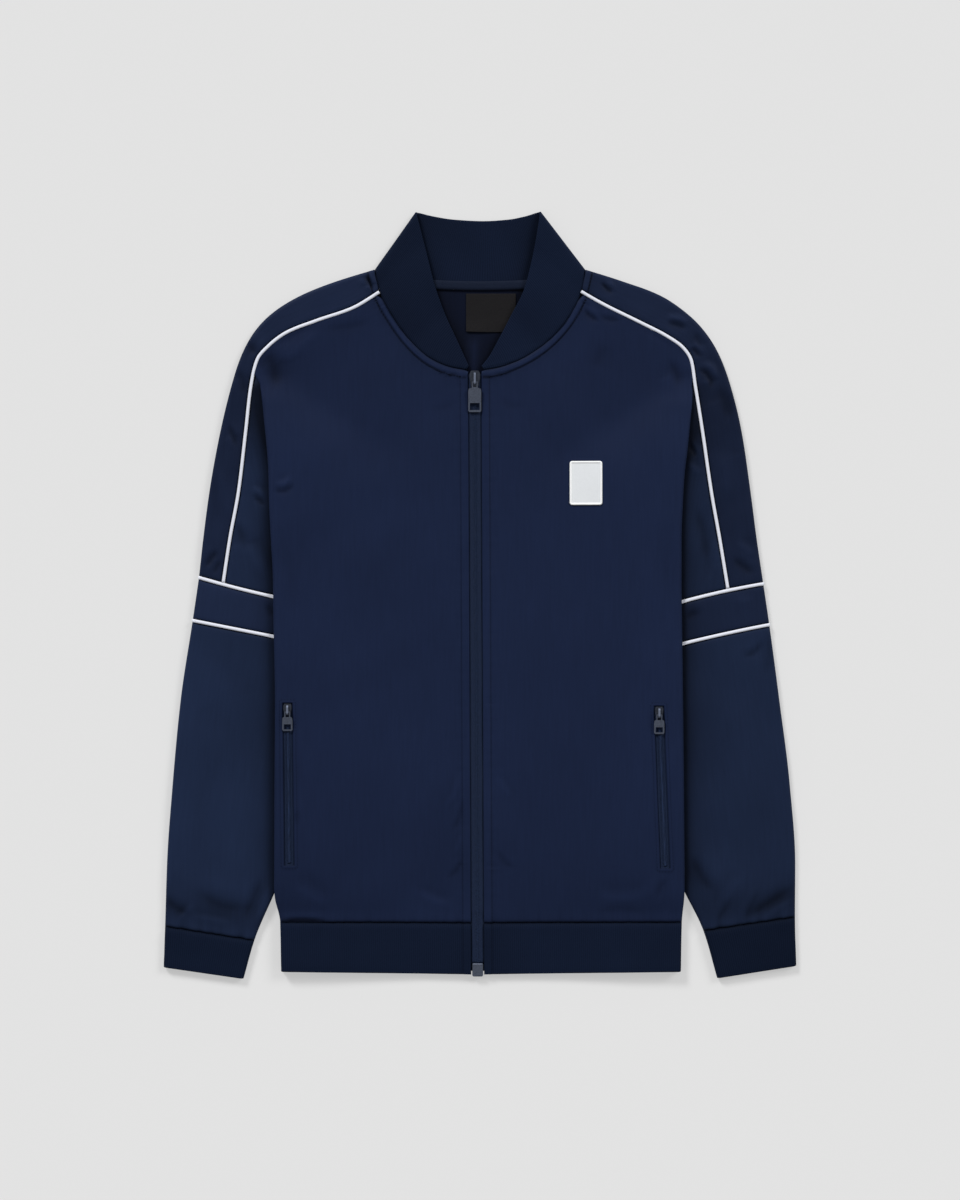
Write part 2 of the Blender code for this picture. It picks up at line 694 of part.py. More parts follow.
def panel_point(share, start, edge, face, back_face, turn, tucked):
    """A point across one half of a body panel. Up to FACE it is on the face, to ARC on the edge that turns over,
    and then on the leg that is tucked in. turn is 0 where the whole row lies flat and 1 where the edge has turned
    right over, from the face to the back_face."""
    level, base = face(*edge), back_face(*edge)
    angle = math.pi * max(turn, LEAST_TURN)
    arc = mix(FLAT_ARC, math.pi * abs(level - base) / 2, turn)
    radius = arc / angle
    leg = max(tucked - radius, LEAST_LEG)
    way = 1.0 if base > level else -1.0
    run = edge - start
    width = np.linalg.norm(run)
    along = run / width
    reach = radius * math.sin(min(angle, math.pi / 2)) + leg * max(math.cos(angle), 0.0)
    if share <= FACE:
        plan = start + along * (width - reach) * share / FACE
        return np.array((plan[0], plan[1], face(*plan)))
    turned = angle * min((share - FACE) / (ARC - FACE), 1.0)
    past = leg * max((share - ARC) / (1 - ARC), 0.0)
    plan = edge + along * (radius * math.sin(turned) + past * math.cos(turned) - reach)
    if share > ARC and turn >= 1.0:
        return np.array((plan[0], plan[1], back_face(*plan)))
    z = level + way * (radius * (1.0 - math.cos(turned)) + past * math.sin(turned))
    return np.array((plan[0], plan[1], z))


def front_point(side, run, share):
    start, end = front_row(side, run)
    stitch = NECK_STITCH if run <= 1 else ZIP_STITCH

    def face(x, y):
        distance = np.hypot(x - start[0], y - start[1])
        return front_high(side, x, y) + neck_raise(distance, stitch, 2.5)

    def back_face(x, y):
        return front_low(side, x, y)

    turn = front_turn(side, end[1])
    return place(side, *panel_point(share, start, end, face, back_face, turn, tuck(end[1])))


def front_shares(side, run):
    """Column places: two of them bound the topstitched edge."""
    start, end = front_row(side, run)
    width = np.linalg.norm(end - start)
    stitch = NECK_STITCH if run <= 1 else ZIP_STITCH
    first = [0.0, min(stitch / width, 0.25), min((stitch + 2.8) / width, 0.35)]
    rest = spread(6, first[-1], 1.0)[1:]
    face = [FACE * share for share in first + rest]
    # the leg lies on the sleeve as far as the sleeve's inner fold, and then comes down
    leg = tuck(end[1]) - fold_height(side, end[1]) / 2
    off_sleeve = tuck(end[1]) - leg + inner_fold_x(side, end[1]) - OFF_SLEEVE
    bend = min(max((end[0] - off_sleeve) / leg, 0.2), 0.8)
    return face + spread(6, FACE, ARC)[1:] + [mix(ARC, 1.0, share) for share in (bend, (bend + 1) / 2, 1.0)]


def runs_of(side, heights):
    top = shoulder_y(side)
    return [1.0 + (top - y) / (top - HEM_SEAM - SEAM) for y in heights]


# Distances below the shoulder's end at which a front has a row
FRONT_STEPS = (2.5, 5.0, 8.0, 16.0, 30.0, 50.0, 80.0, 120.0, 170.0, 230.0, 290.0, 350.0, 410.0, 470.0, 512.0,
               530.0)


def yoke_runs(side):
    """Runs of the rows that end at the shared places along the long seam."""
    stations = yoke_stations(side)
    return [(station - stations[0]) / (stations[-1] - stations[0]) for station in stations]


def front_grid(side):
    top = shoulder_y(side)
    runs = yoke_runs(side) + runs_of(side, [top - step for step in FRONT_STEPS]) + [2.0]
    return [[front_point(side, run, share) for share in front_shares(side, run)] for run in runs]


# ---------------------------------------------------------------------------------------------------- back


def back_row(side, run):
    """Where half a row across the back starts and ends: run as in front_row."""
    top = shoulder_y(side)
    if run <= 1.0:
        station = mix(FRONT_FIRST_STATION, yoke_stations(side)[-1], run)
        middle = mix(BACK_NECK - 2 * SEAM, top, run)
        return np.array((0.0, middle)), seam_edge(side, station, BACK_SEAM, -1)
    y = mix(top, HEM_SEAM + SEAM, run - 1.0)
    moved_out = smooth((BACK_OUT_FROM - y) / BACK_OUT_RUN)
    return np.array((0.0, y)), np.array((mix(armhole_point(side, y)[0] - SEAM, edge_x(side, y), moved_out), y))


def sleeve_room(y):
    """Height left under the sleeve for the back's edge."""
    return SLEEVE_RISE * lift(y) - LAYER if y > 0 else BACK_FOLD


def back_turn(y):
    """How far the back's edge has turned up and over at this height: 0 flat, 1 right over."""
    return min(max(sleeve_room(y) / BACK_FOLD_START, 0.0), 1.0)


def back_return_high(y):
    """Height of the upper face of the back's folded side."""
    under_sleeve = max(min(BACK_FOLD, sleeve_room(y)), BACK_FOLD_START)
    return under_sleeve + (HEM_BACK_FOLD - under_sleeve) * hem_drop(y)


def back_point(side, run, share):
    start, edge = back_row(side, run)

    def face(x, y):
        return 0.0

    def back_face(x, y):
        return back_return_high(y)

    tucked = edge[0] - armhole_point(side, edge[1])[0]
    turn = back_turn(edge[1]) if run > 1.0 else 0.0
    x, y, z = panel_point(share, start, edge, face, back_face, turn, tucked)
    if run < 1.0:
        # the neckline's curve fades out down the yoke
        rise = BACK_NECK_CURVE(SIGN[side] * min(x, COLLAR_BACK_BESIDE))[0] - BACK_NECK
        straight = (edge[1] - start[1]) * x / edge[0]
        y += (rise - straight) * (1.0 - run) ** 2 * (1.0 - (x / edge[0]) ** 4)
    return place(side, x, y, z)


BACK_SHARES = spread(5, 0.0, FACE) + spread(5, FACE, ARC)[1:] + spread(3, ARC, 1.0)[1:]
# Distances below the shoulder's end at which the back has a row
BACK_STEPS = (SLEEVE_BELOW - SEAM, 15.0, 22.0, 29.0, 36.0, 40.0, 45.0, 51.0, 60.0, 90.0, 150.0, 230.0, 310.0,
              390.0, 460.0, 512.0, 523.0, 534.0)


def back_grid():
    def half(side):
        top = shoulder_y(side)
        runs = yoke_runs(side) + runs_of(side, [top - step for step in BACK_STEPS]) + [2.0]
        return [[back_point(side, run, share) for share in BACK_SHARES] for run in runs]

    right, left = half("right"), half("left")
    rows = []
    for right_row, left_row in zip(right, left):
        middle = tuple((np.array(right_row[0]) + np.array(left_row[0])) / 2)
        rows.append(right_row[:0:-1] + [middle] + left_row[1:])
    return rows


# ---------------------------------------------------------------------------------------------------- hem rib


HEM_ROWS = 4


def hem_front_row(side, down):
    y = mix(HEM_SEAM - SEAM, HEM_END, down)
    start_y = mix(HEM_SEAM - SEAM - HEM_SAG * 0.4, HEM_END - HEM_SAG, down)
    start = np.array((ZIP_CHANNEL + SIGN[side] * zip_x(start_y), start_y))
    edge = np.array((edge_x(side, y), y))

    def face(x, y_here):
        distance = np.hypot(x - start[0], y_here - start[1])
        return front_high(side, x, y) + neck_raise(distance, ZIP_STITCH, 2.5)

    def back_face(x, y_here):
        return HEM_BACK_FOLD + LAYER

    width = np.linalg.norm(edge - start)
    shares = [0.0, ZIP_STITCH / width * FACE, (ZIP_STITCH + 2.8) / width * FACE]
    shares += spread(5, shares[-1], FACE)[1:] + spread(6, FACE, ARC)[1:] + spread(3, ARC, 1.0)[1:]
    return [place(side, *panel_point(share, start, edge, face, back_face, 1.0, tuck(y))) for share in shares]


def hem_front_grid(side):
    return [hem_front_row(side, down) for down in spread(HEM_ROWS)]


def hem_back_half(side, y):
    def face(x, y_here):
        return 0.0

    def back_face(x, y_here):
        return HEM_BACK_FOLD

    start, edge = np.array((0.0, y)), np.array((edge_x(side, y), y))
    shares = spread(4, 0.0, FACE) + spread(6, FACE, ARC)[1:] + spread(3, ARC, 1.0)[1:]
    return [place(side, *panel_point(share, start, edge, face, back_face, 1.0, tuck(y))) for share in shares]


def hem_back_grid():
    heights = spread(HEM_ROWS, HEM_SEAM - SEAM, HEM_END)
    return [hem_back_half("right", y)[:0:-1] + hem_back_half("left", y) for y in heights]


# ---------------------------------------------------------------------------------------------------- rings


def ring_grid(side, distances):
    return [[ring_point(side, distance, share) for share in RING_SHARES] for distance in distances]


def band_grid(side):
    return ring_grid(side, [PIPING_SLOT, BAND_LENGTH[side] / 2, BAND_LENGTH[side] - PIPING_SLOT])


def lower_sleeve_grid(side):
    return ring_grid(side, spread(11, BAND_LENGTH[side] + PIPING_SLOT, CUFF_SEAM[side] - SEAM / 2))


def cuff_grid(side):
    return ring_grid(side, spread(4, CUFF_SEAM[side] + SEAM / 2, CUFF_END[side]))


# ---------------------------------------------------------------------------------------------------- piping

# Round the cord, across it and out from the cloth's face
PIPING_PROFILE = [
    (-1.8, -0.45),
    (-1.25, 0.4),
    (0.0, PIPING_PROUD),
    (1.25, 0.4),
    (1.8, -0.45),
    (1.2, -1.1),
    (-1.2, -1.1),
]


def cord_section(centre, across, out, proud=1.0):
    """The cord's section. proud is 0 where another layer lies on it and presses it level with the cloth."""
    points = []
    for u, v in PIPING_PROFILE:
        x, y, z = np.asarray(centre) + across * u + out * (v * proud if v > 0 else v)
        points.append((x, y, max(z, 0.0)))
    return points


def long_piping(side, under):
    """Sections of the piping between the stripe panel and the body and sleeve, from the neck to the band."""
    columns = BACK_SEAM if under else FRONT_SEAM
    level = sleeve_low if under else sleeve_top
    up = np.array((0.0, 0.0, -1.0 if under else 1.0))
    sections = []
    for station in long_stations(side):
        here, _, out = seam_at(side, station, columns)
        raised = 0.0 if under else neck_raise(station, NECK_STITCH, 2.5)
        centre = np.array(place(side, here[0], here[1], level(side, *here) + raised))
        across = np.array(place(side, out[0], out[1], 0.0))
        sections.append(cord_section(centre, across, up))
    return sections


def band_piping(side, distance):
    sections = []
    count = len(RING_SHARES)
    for i, share in enumerate(RING_SHARES):
        centre = np.array(ring_point(side, distance, share))
        before = np.array(ring_point(side, distance, RING_SHARES[i - 1]))
        after = np.array(ring_point(side, distance, RING_SHARES[(i + 1) % count]))
        down = np.array(ring_point(side, distance + 1.0, share)) - centre
        around = unit(after - before)
        across = unit(down - around * np.dot(down, around))
        out = np.cross(around, across) * SIGN[side]
        x = abs(centre[0])
        proud = smooth((x - edge_x(side, centre[1]) - 2.0) / 6.0)
        sections.append(cord_section(centre, across, out, proud))
    return sections


# ---------------------------------------------------------------------------------------------------- collar


def collar_point(side, place_along, height):
    """place_along runs from -1 at the middle of the back, through 0 at the fold, to 1 at the zip; height is from
    the seam at 0 to the free edge at 1."""
    rows = COLLAR_FRONT[side]
    fold = mix(rows[0][:2], rows[0][2:], height)
    fold_line = unit(np.subtract(rows[0][2:], rows[0][:2]))
    inward = np.array((-fold_line[1], fold_line[0]))
    in_front = place_along > 0
    # beside the fold the collar runs along its own seam, which isn't square to the fold
    beside = mix(rows[1][:2], rows[1][2:], height)
    if not in_front:
        beside = collar_back_plan(side, COLLAR_BACK_BESIDE, height)
    beside_way = unit(beside - fold)
    reach = beside_way * COLLAR_HIGH / 2 / np.dot(inward, beside_way)
    turned = math.pi / 2 * min(abs(place_along) / COLLAR_ARC, 1.0)
    z = COLLAR_HIGH / 2 * (1.0 + math.sin(turned) * (1 if in_front else -1))
    plan = fold + reach * (1.0 - math.cos(turned))
    share = (abs(place_along) - COLLAR_ARC) / (1 - COLLAR_ARC)
    if share > 0:
        flat = collar_front_plan if in_front else collar_back_plan
        first = np.linalg.norm(reach)
        last = NECK_CURVE[side].keys[-1] if in_front else COLLAR_SIDE
        if not in_front:
            first, last = COLLAR_SIDE - first, 0.0
        # past the turned edge it settles onto the flat collar's own plan
        settled = smooth(share / COLLAR_SETTLES)
        off = plan - flat(side, first, height)
        plan = flat(side, mix(first, last, share), height) + off * (1.0 - settled)
        z -= COLLAR_ZIP_DROP * smooth(share) if in_front else 0.0
    return place(side, plan[0], plan[1], z)


def collar_front_plan(side, along, height):
    seam_x, seam_y, edge_at_x, edge_y = NECK_CURVE[side](along)
    return mix((seam_x, seam_y), (edge_at_x, edge_y), height)


def collar_back_plan(side, x, height):
    seam_y, edge_at_x, edge_y = BACK_NECK_CURVE(SIGN[side] * x)
    return mix((x, seam_y), (SIGN[side] * edge_at_x, edge_y), height)


def collar_grid():
    def half(side):
        turning = spread(7, -COLLAR_ARC, COLLAR_ARC)[1:-1]
        places = spread(7, -1.0, -COLLAR_ARC) + turning + spread(11, COLLAR_ARC, 1.0)
        return [[collar_point(side, p, h) for p in places] for h in spread(3)]

    rows = []
    for right_row, left_row in zip(half("right"), half("left")):
        middle = tuple((np.array(right_row[0]) + np.array(left_row[0])) / 2)
        rows.append(right_row[:0:-1] + [middle] + left_row[1:])
    return rows


def neck_tape_grid():
    rows = []
    for offset, z in NECK_TAPE:
        rows.append([(x, BACK_NECK_CURVE(x)[0] + offset, z) for x in spread(13, -NECK_TAPE_END, NECK_TAPE_END)])
    return rows


def label_grid():
    rows = []
    for y in spread(5, LABEL_TOP, LABEL_BOTTOM):
        z = LABEL_HIGH + LABEL_CURL * smooth((LABEL_CURLS_BELOW - y) / (LABEL_CURLS_BELOW - LABEL_BOTTOM))
        rows.append([(x, y, z) for x in spread(4, LABEL_LEFT, LABEL_RIGHT)])
    return rows


# ---------------------------------------------------------------------------------------------------- zips


def zip_floor(y):
    """Height of the tapes' upper face under the fronts' edges, and under the thicker rib of the hem."""
    in_rib = smooth((HEM_SEAM + 14.0 - y) / 12.0)
    return CENTRE_HIGH + STITCHED_RAISE - CLOTH - LAYER - (RIB - CLOTH) * in_rib


def tape_grid(side):
    sign = SIGN[side]
    rows = []
    for y in spread(12, ZIP_TOP - 4.0, HEM_SEAM + 16.0) + spread(5, HEM_SEAM, BOX_TOP + SEAM):
        columns = [SEAM / 2, ZIP_CHANNEL, TAPE_HALF]
        rows.append([(zip_x(y) + sign * x, y, zip_floor(y)) for x in columns])
    return rows


def coil_sections(x_at, floor_at, top, bottom, half, high, count):
    shoulder, flat = 0.55 * high, 0.45 * half
    profile = [(-half, 0.0), (-half, shoulder), (-flat, high), (flat, high), (half, shoulder), (half, 0.0)]
    return [[(x_at(y) + u, y, floor_at(y) + v) for u, v in profile] for y in spread(count, top, bottom)]


# Columns: length and width of a slider, length of its pull from the hinge, width of the pull, where the pull's
# window starts and ends along it, length of the pull's narrow neck.
SLIDERS = {
    "front": dict(long=16.0, wide=10.6, pull_long=30.0, pull_wide=13.0, window=(21.0, 28.0), neck=5.6),
    "pocket": dict(long=11.5, wide=8.2, pull_long=19.0, pull_wide=10.3, window=(12.2, 17.4), neck=4.6),
}
# A slider's outline. Columns: share of its length down from the top; share of its width.
SLIDER_OUTLINE = ((0.0, 0.62), (0.08, 0.86), (0.2, 1.0), (0.45, 1.0), (0.8, 0.8), (0.95, 0.74), (1.0, 0.62))
PLATE = 1.3  # thickness of a slider's plate
PULL_THICK = 1.2
BRIDGE_WIDE = 2.0
BRIDGE_THICK = 1.0
HINGE_HIGH = 1.55  # from the slider's upper face to the hinge of its pull
HINGE_BACK = 0.28  # share of the slider's length from its lower end to the hinge
EYE_HALF = 1.75  # half the width of the pull's eye, which the bridge passes through
EYE = (0.75, 5.0)  # where the eye starts and ends along the pull
EYE_WALL = 1.15
WINDOW_WALL = 1.6
PULL_PAST = 0.6  # how far the pull reaches past its hinge
PULL_CHAMFER = 1.2
CHEEK_CLEAR, CHEEK = 0.35, 0.6  # beside the coil, from it to the slider's cheek, and the cheek at its thinnest
SLIDER_CLEAR = 0.2  # under the cheeks
PLATE_CLEAR = 0.4  # over the coil
PLATE_ROUND = 0.4
BRIDGE_CLEAR = 0.45  # over the pull
BRIDGE_FLAT, BRIDGE_BEHIND = 0.8, 2.2  # past the hinge, from it to the bridge's flat top's end and its foot
BRIDGE_AHEAD = 0.12  # share of the slider's length from its upper end to the bridge's front foot
BRIDGE_SUNK = 0.5  # how deep the bridge's feet stand in the plate
BRIDGE_KNEE = 0.72  # share of the bridge's height at which it bends


def slider_levels(coil_top):
    plate = coil_top + PLATE_CLEAR
    return plate, plate + PLATE, plate + PLATE + HINGE_HIGH


def hinge_place(kind, x, top, coil_top):
    size = SLIDERS[kind]
    return np.array((x, top - size["long"] * (1 - HINGE_BACK), slider_levels(coil_top)[2]))


def join(target, other):
    """Fuses other into target and removes it."""
    union = target.modifiers.new("Join", "BOOLEAN")
    union.operation = "UNION"
    union.object = other
    bake(target)
    bpy.data.objects.remove(other, do_unlink=True)


def bake(obj):
    graph = bpy.context.evaluated_depsgraph_get()
    mesh = bpy.data.meshes.new_from_object(obj.evaluated_get(graph))
    obj.modifiers.clear()
    obj.data = mesh


def slider(name, kind, x, top, floor, coil_half, coil_high, finish, where):
    """A slider over the coil: plate, two cheeks beside the coil and the bridge that holds the pull."""
    size = SLIDERS[kind]
    low, high, hinge = slider_levels(floor + coil_high)
    inner = coil_half + CHEEK_CLEAR
    bottom = floor + SLIDER_CLEAR
    sections = []
    for down, wide in SLIDER_OUTLINE:
        half = max(size["wide"] / 2 * wide, inner + CHEEK)
        y = top - size["long"] * down
        sections.append([
            (x - half, y, bottom), (x - half, y, high - PLATE_ROUND), (x - half + PLATE_ROUND, y, high),
            (x + half - PLATE_ROUND, y, high), (x + half, y, high - PLATE_ROUND), (x + half, y, bottom),
            (x + inner, y, bottom), (x + inner, y, low), (x - inner, y, low), (x - inner, y, bottom),
        ])
    body = tube(name, sections, finish, where)
    hinge_y = top - size["long"] * (1 - HINGE_BACK)
    crown = hinge + PULL_THICK / 2 + BRIDGE_CLEAR + BRIDGE_THICK / 2
    # the bridge's feet stand in the plate, ahead of the hinge and behind it
    foot = high - BRIDGE_SUNK
    knee = mix(foot, crown, BRIDGE_KNEE)
    start, end = top - BRIDGE_AHEAD * size["long"], hinge_y - BRIDGE_BEHIND
    path = [(start, foot), (start - 0.6, knee), (start - 2.0, crown), (hinge_y - BRIDGE_FLAT, crown),
            (end + 0.35, knee), (end, foot)]
    rings = []
    for i, (y, z) in enumerate(path):
        before, after = path[max(i - 1, 0)], path[min(i + 1, len(path) - 1)]
        run = unit((after[0] - before[0], after[1] - before[1]))
        up = np.array((-run[1], run[0])) * -BRIDGE_THICK / 2
        half = BRIDGE_WIDE / 2
        rings.append([(x - half, y - up[0], float(z) - up[1]), (x + half, y - up[0], float(z) - up[1]),
                      (x + half, y + up[0], float(z) + up[1]), (x - half, y + up[0], float(z) + up[1])])
    bridge = tube(name + "_bridge", rings, finish, where)
    recalculate(bridge)
    recalculate(body)
    join(body, bridge)
    return body


def recalculate(obj):
    """Turns the faces outward."""
    work = bmesh.new()
    work.from_mesh(obj.data)
    bmesh.ops.recalc_face_normals(work, faces=work.faces)
    work.to_mesh(obj.data)
    work.free()


def plate_with_windows(name, outline, windows, thick, finish, where):
    """A flat plate about the origin, cut by rectangular windows of (half width, start, end)."""
    curve = bpy.data.curves.new(name, "CURVE")
    curve.dimensions = "2D"
    curve.fill_mode = "BOTH"
    curve.extrude = thick / 2 * MM
    loops = [outline] + [[(-w, -a), (-w, -b), (w, -b), (w, -a)] for w, a, b in windows]
    for loop in loops:
        spline = curve.splines.new("POLY")
        spline.points.add(len(loop) - 1)
        for point, (u, v) in zip(spline.points, loop):
            point.co = (u * MM, v * MM, 0.0, 1.0)
        spline.use_cyclic_u = True
    flat = bpy.data.objects.new(name + "_outline", curve)
    where.objects.link(flat)
    mesh = bpy.data.meshes.new_from_object(flat.evaluated_get(bpy.context.evaluated_depsgraph_get()))
    mesh.name = name
    bpy.data.objects.remove(flat, do_unlink=True)
    work = bmesh.new()
    work.from_mesh(mesh)
    bmesh.ops.remove_doubles(work, verts=work.verts, dist=0.00002)
    bmesh.ops.recalc_face_normals(work, faces=work.faces)
    work.to_mesh(mesh)
    work.free()
    mesh.materials.clear()
    mesh.materials.append(finish)
    made = bpy.data.objects.new(name, mesh)
    where.objects.link(made)
    return made


def pull(name, kind, hinge, tip_high, finish, where):
    """A pull tab on the slider's bridge, its origin on the hinge, tilted so that its tip lies on the cloth."""
    size = SLIDERS[kind]
    neck, half, long = EYE_HALF + EYE_WALL, size["pull_wide"] / 2, size["pull_long"]
    shoulder = size["neck"] + PULL_CHAMFER
    # down one side from the hinge, with a rounded shoulder and a chamfered tip
    down = [(neck, PULL_PAST), (neck, -size["neck"]), (half - 0.4, -shoulder), (half, -shoulder - 2.8),
            (half, PULL_CHAMFER - long), (half - PULL_CHAMFER, -long)]
    outline = [(-u, v) for u, v in down] + down[::-1]
    start, end = size["window"]
    windows = [(EYE_HALF, *EYE), (half - WINDOW_WALL, start, end)]
    made = plate_with_windows(name, outline, windows, PULL_THICK, finish, where)
    made.location = hinge * MM
    drop = hinge[2] - PULL_THICK / 2 - tip_high
    made.rotation_euler = (math.asin(drop / long), 0.0, 0.0)
    return made


def zip_box(finish, where):
    """The retaining box that joins the two tapes below the coil."""
    low = zip_floor(BOX_TOP) - TAPE_THICK
    x = zip_x(-375.0)
    sections = []
    for y, inset in ((BOX_TOP, 0.5), (BOX_TOP - 1.0, 0.0), (ZIP_BOTTOM + 1.2, 0.0), (ZIP_BOTTOM, 0.8)):
        half = BOX_HALF - inset
        top = low + BOX_HIGH - inset
        sections.append([(x - half, y, low), (x - half, y, top - 0.6), (x - half + 0.8, y, top),
                         (x + half - 0.8, y, top), (x + half, y, top - 0.6), (x + half, y, low)])
    made = tube("zip_box", sections, finish, where)
    recalculate(made)
    return made


# ---------------------------------------------------------------------------------------------------- pockets


def pocket_x(side, y):
    place_down = POCKET[side]
    share = (place_down["top"] - y) / (place_down["top"] - place_down["bottom"])
    return mix(place_down["x_top"], place_down["x_bottom"], share)


def pocket_slot(side, where):
    """Cuts the pocket's opening through the upper layer of the front only."""
    top, bottom = POCKET[side]["top"], POCKET[side]["bottom"]
    corner = POCKET_SLOT_CORNER
    outline = []
    for y, inset in ((top, corner), (top - corner, 0.0), (bottom + corner, 0.0), (bottom, corner)):
        outline.append((SIGN[side] * (pocket_x(side, y) - POCKET_HALF + inset), y))
    for y, inset in ((bottom, corner), (bottom + corner, 0.0), (top - corner, 0.0), (top, corner)):
        outline.append((SIGN[side] * (pocket_x(side, y) + POCKET_HALF - inset), y))
    finish = material("slot", (0.5, 0.5, 0.5), 0.5)
    cutter = block("pocket_slot_" + side, outline, POCKET_SLOT_LOW, POCKET_SLOT_HIGH, finish, where)
    recalculate(cutter)
    cutter.display_type = "WIRE"
    cutter.hide_render = True
    return cutter


def pocket_tape_grid(side):
    top, bottom = POCKET[side]["top"] + 3.0, POCKET[side]["bottom"] - 3.0
    rows = []
    for y in spread(12, top, bottom):
        across = (-POCKET_TAPE_HALF, -POCKET_COIL_HALF, POCKET_COIL_HALF, POCKET_TAPE_HALF)
        columns = [pocket_x(side, y) + u for u in across]
        rows.append([place(side, x, y, front_high(side, x, y) - CLOTH - POCKET_UNDER) for x in columns])
    return rows


def pocket_floor(side, y):
    """Height of the pocket tape's upper face on the coil's outer side, where it is highest."""
    return front_high(side, pocket_x(side, y) + POCKET_COIL_HALF, y) - CLOTH - POCKET_UNDER


def patch_loops():
    """Rounded rectangles from the patch's back to its face's middle, each an inset and a height off the cloth."""
    loops = []
    face = SEAM + PATCH_THICK
    rim = face + PATCH_RIM_PROUD
    for inset, high in ((0.0, SEAM), (0.0, face), (PATCH_BEVEL, rim), (PATCH_RIM, rim),
                        (PATCH_RIM + PATCH_BEVEL, face), (PATCH_MIDDLE, face)):
        half_w, half_t = PATCH_WIDE / 2 - inset, PATCH_TALL / 2 - inset
        corner = max(PATCH_CORNER - inset, PATCH_BEVEL)
        loop = []
        for quarter, (sx, sy) in enumerate(((1, 1), (-1, 1), (-1, -1), (1, -1))):
            for step in range(4):
                angle = math.pi / 2 * (quarter + step / 3)
                x = PATCH_X + sx * (half_w - corner) + corner * math.cos(angle)
                y = PATCH_Y + sy * (half_t - corner) + corner * math.sin(angle)
                loop.append((x, y, front_high("left", x, y) + high))
        loops.append(loop)
    return loops


# ---------------------------------------------------------------------------------------------------- build


def srgb(red, green, blue):
    return tuple(((c / 255 + 0.055) / 1.055) ** 2.4 if c > 10 else c / 255 / 12.92 for c in (red, green, blue))


NAVY, NAVY_SLEEVE, NAVY_STRIPE = srgb(26, 35, 58), srgb(27, 38, 60), srgb(24, 33, 54)
NAVY_RIB, NAVY_TAPE, WHITE = srgb(17, 25, 43), srgb(26, 35, 52), srgb(226, 229, 240)
METAL, LABEL_BLACK, PATCH_WHITE = srgb(88, 95, 108), srgb(35, 33, 36), srgb(212, 216, 220)


def build_cloth(where):
    def navy(name, colour=NAVY):
        return material(name, colour, 0.55)

    sheet("back", back_grid(), CLOTH, navy("back"), where)
    sheet("collar", collar_grid(), COLLAR, navy("collar", NAVY_RIB), where, flip=True)
    sheet("hem_rib_back", hem_back_grid(), RIB, navy("hem_rib_back", NAVY_RIB), where)
    sheet("neck_tape", neck_tape_grid(), TAPE_THICK, navy("neck_tape"), where, flip=True)
    sheet("label", label_grid(), LABEL_THICK, material("label", LABEL_BLACK, 0.7), where, flip=True)
    for side in SIDES:
        # Rows run down the jacket. outward: the outer face looks up where the columns run out from the middle,
        # or down where they run in.
        for name, grid, thickness, colour, ring, outward in (
            ("front_", front_grid(side), CLOTH, NAVY, False, True),
            ("hem_rib_", hem_front_grid(side), RIB, NAVY_RIB, False, True),
            ("stripe_", stripe_grid(side), CLOTH, NAVY_STRIPE, False, True),
            ("upper_sleeve_front_", upper_sleeve_grid(side, False), CLOTH, NAVY_SLEEVE, False, False),
            ("upper_sleeve_back_", upper_sleeve_grid(side, True), CLOTH, NAVY_SLEEVE, False, True),
            ("band_", band_grid(side), CLOTH, NAVY_STRIPE, True, False),
            ("lower_sleeve_", lower_sleeve_grid(side), CLOTH, NAVY_SLEEVE, True, False),
            ("cuff_", cuff_grid(side), RIB, NAVY_RIB, True, False),
        ):
            flip = (side == "left") == outward
            sheet(name + side, grid, thickness, navy(name + side, colour), where, ring, flip)


def build_piping(where):
    for side in SIDES:
        for name, sections, ring in (
            ("piping_long_front_", long_piping(side, False), False),
            ("piping_long_back_", long_piping(side, True), False),
            ("piping_band_upper_", band_piping(side, 0.0), True),
            ("piping_band_lower_", band_piping(side, BAND_LENGTH[side]), True),
        ):
            recalculate(tube(name + side, sections, material(name + side, WHITE, 0.45), where, ring))


def build_front_zip(where):
    metal = material("zip_metal", METAL, 0.35, 0.9)
    for side in SIDES:
        tape = material("zip_tape_" + side, NAVY_TAPE, 0.7)
        sheet("zip_tape_" + side, tape_grid(side), TAPE_THICK, tape, where, flip=side == "left")

    def coil_floor(y):
        return zip_floor(y) + SEAM

    coil = coil_sections(zip_x, coil_floor, ZIP_TOP - 2.0, BOX_TOP + SEAM, COIL_HALF, COIL_HIGH, 12)
    recalculate(tube("zip_coil", coil, material("zip_coil", NAVY_TAPE, 0.5), where))
    middle, slider_top = ZIP_TOP - 8.0, ZIP_TOP - ZIP_SLIDER_TOP
    x, floor = zip_x(middle), coil_floor(middle)
    slider("zip_slider", "front", x, slider_top, floor, COIL_HALF, COIL_HIGH, metal, where)
    hinge = hinge_place("front", x, slider_top, floor + COIL_HIGH)
    pull("zip_pull", "front", hinge, floor + COIL_HIGH + SEAM, metal, where)
    zip_box(metal, where)


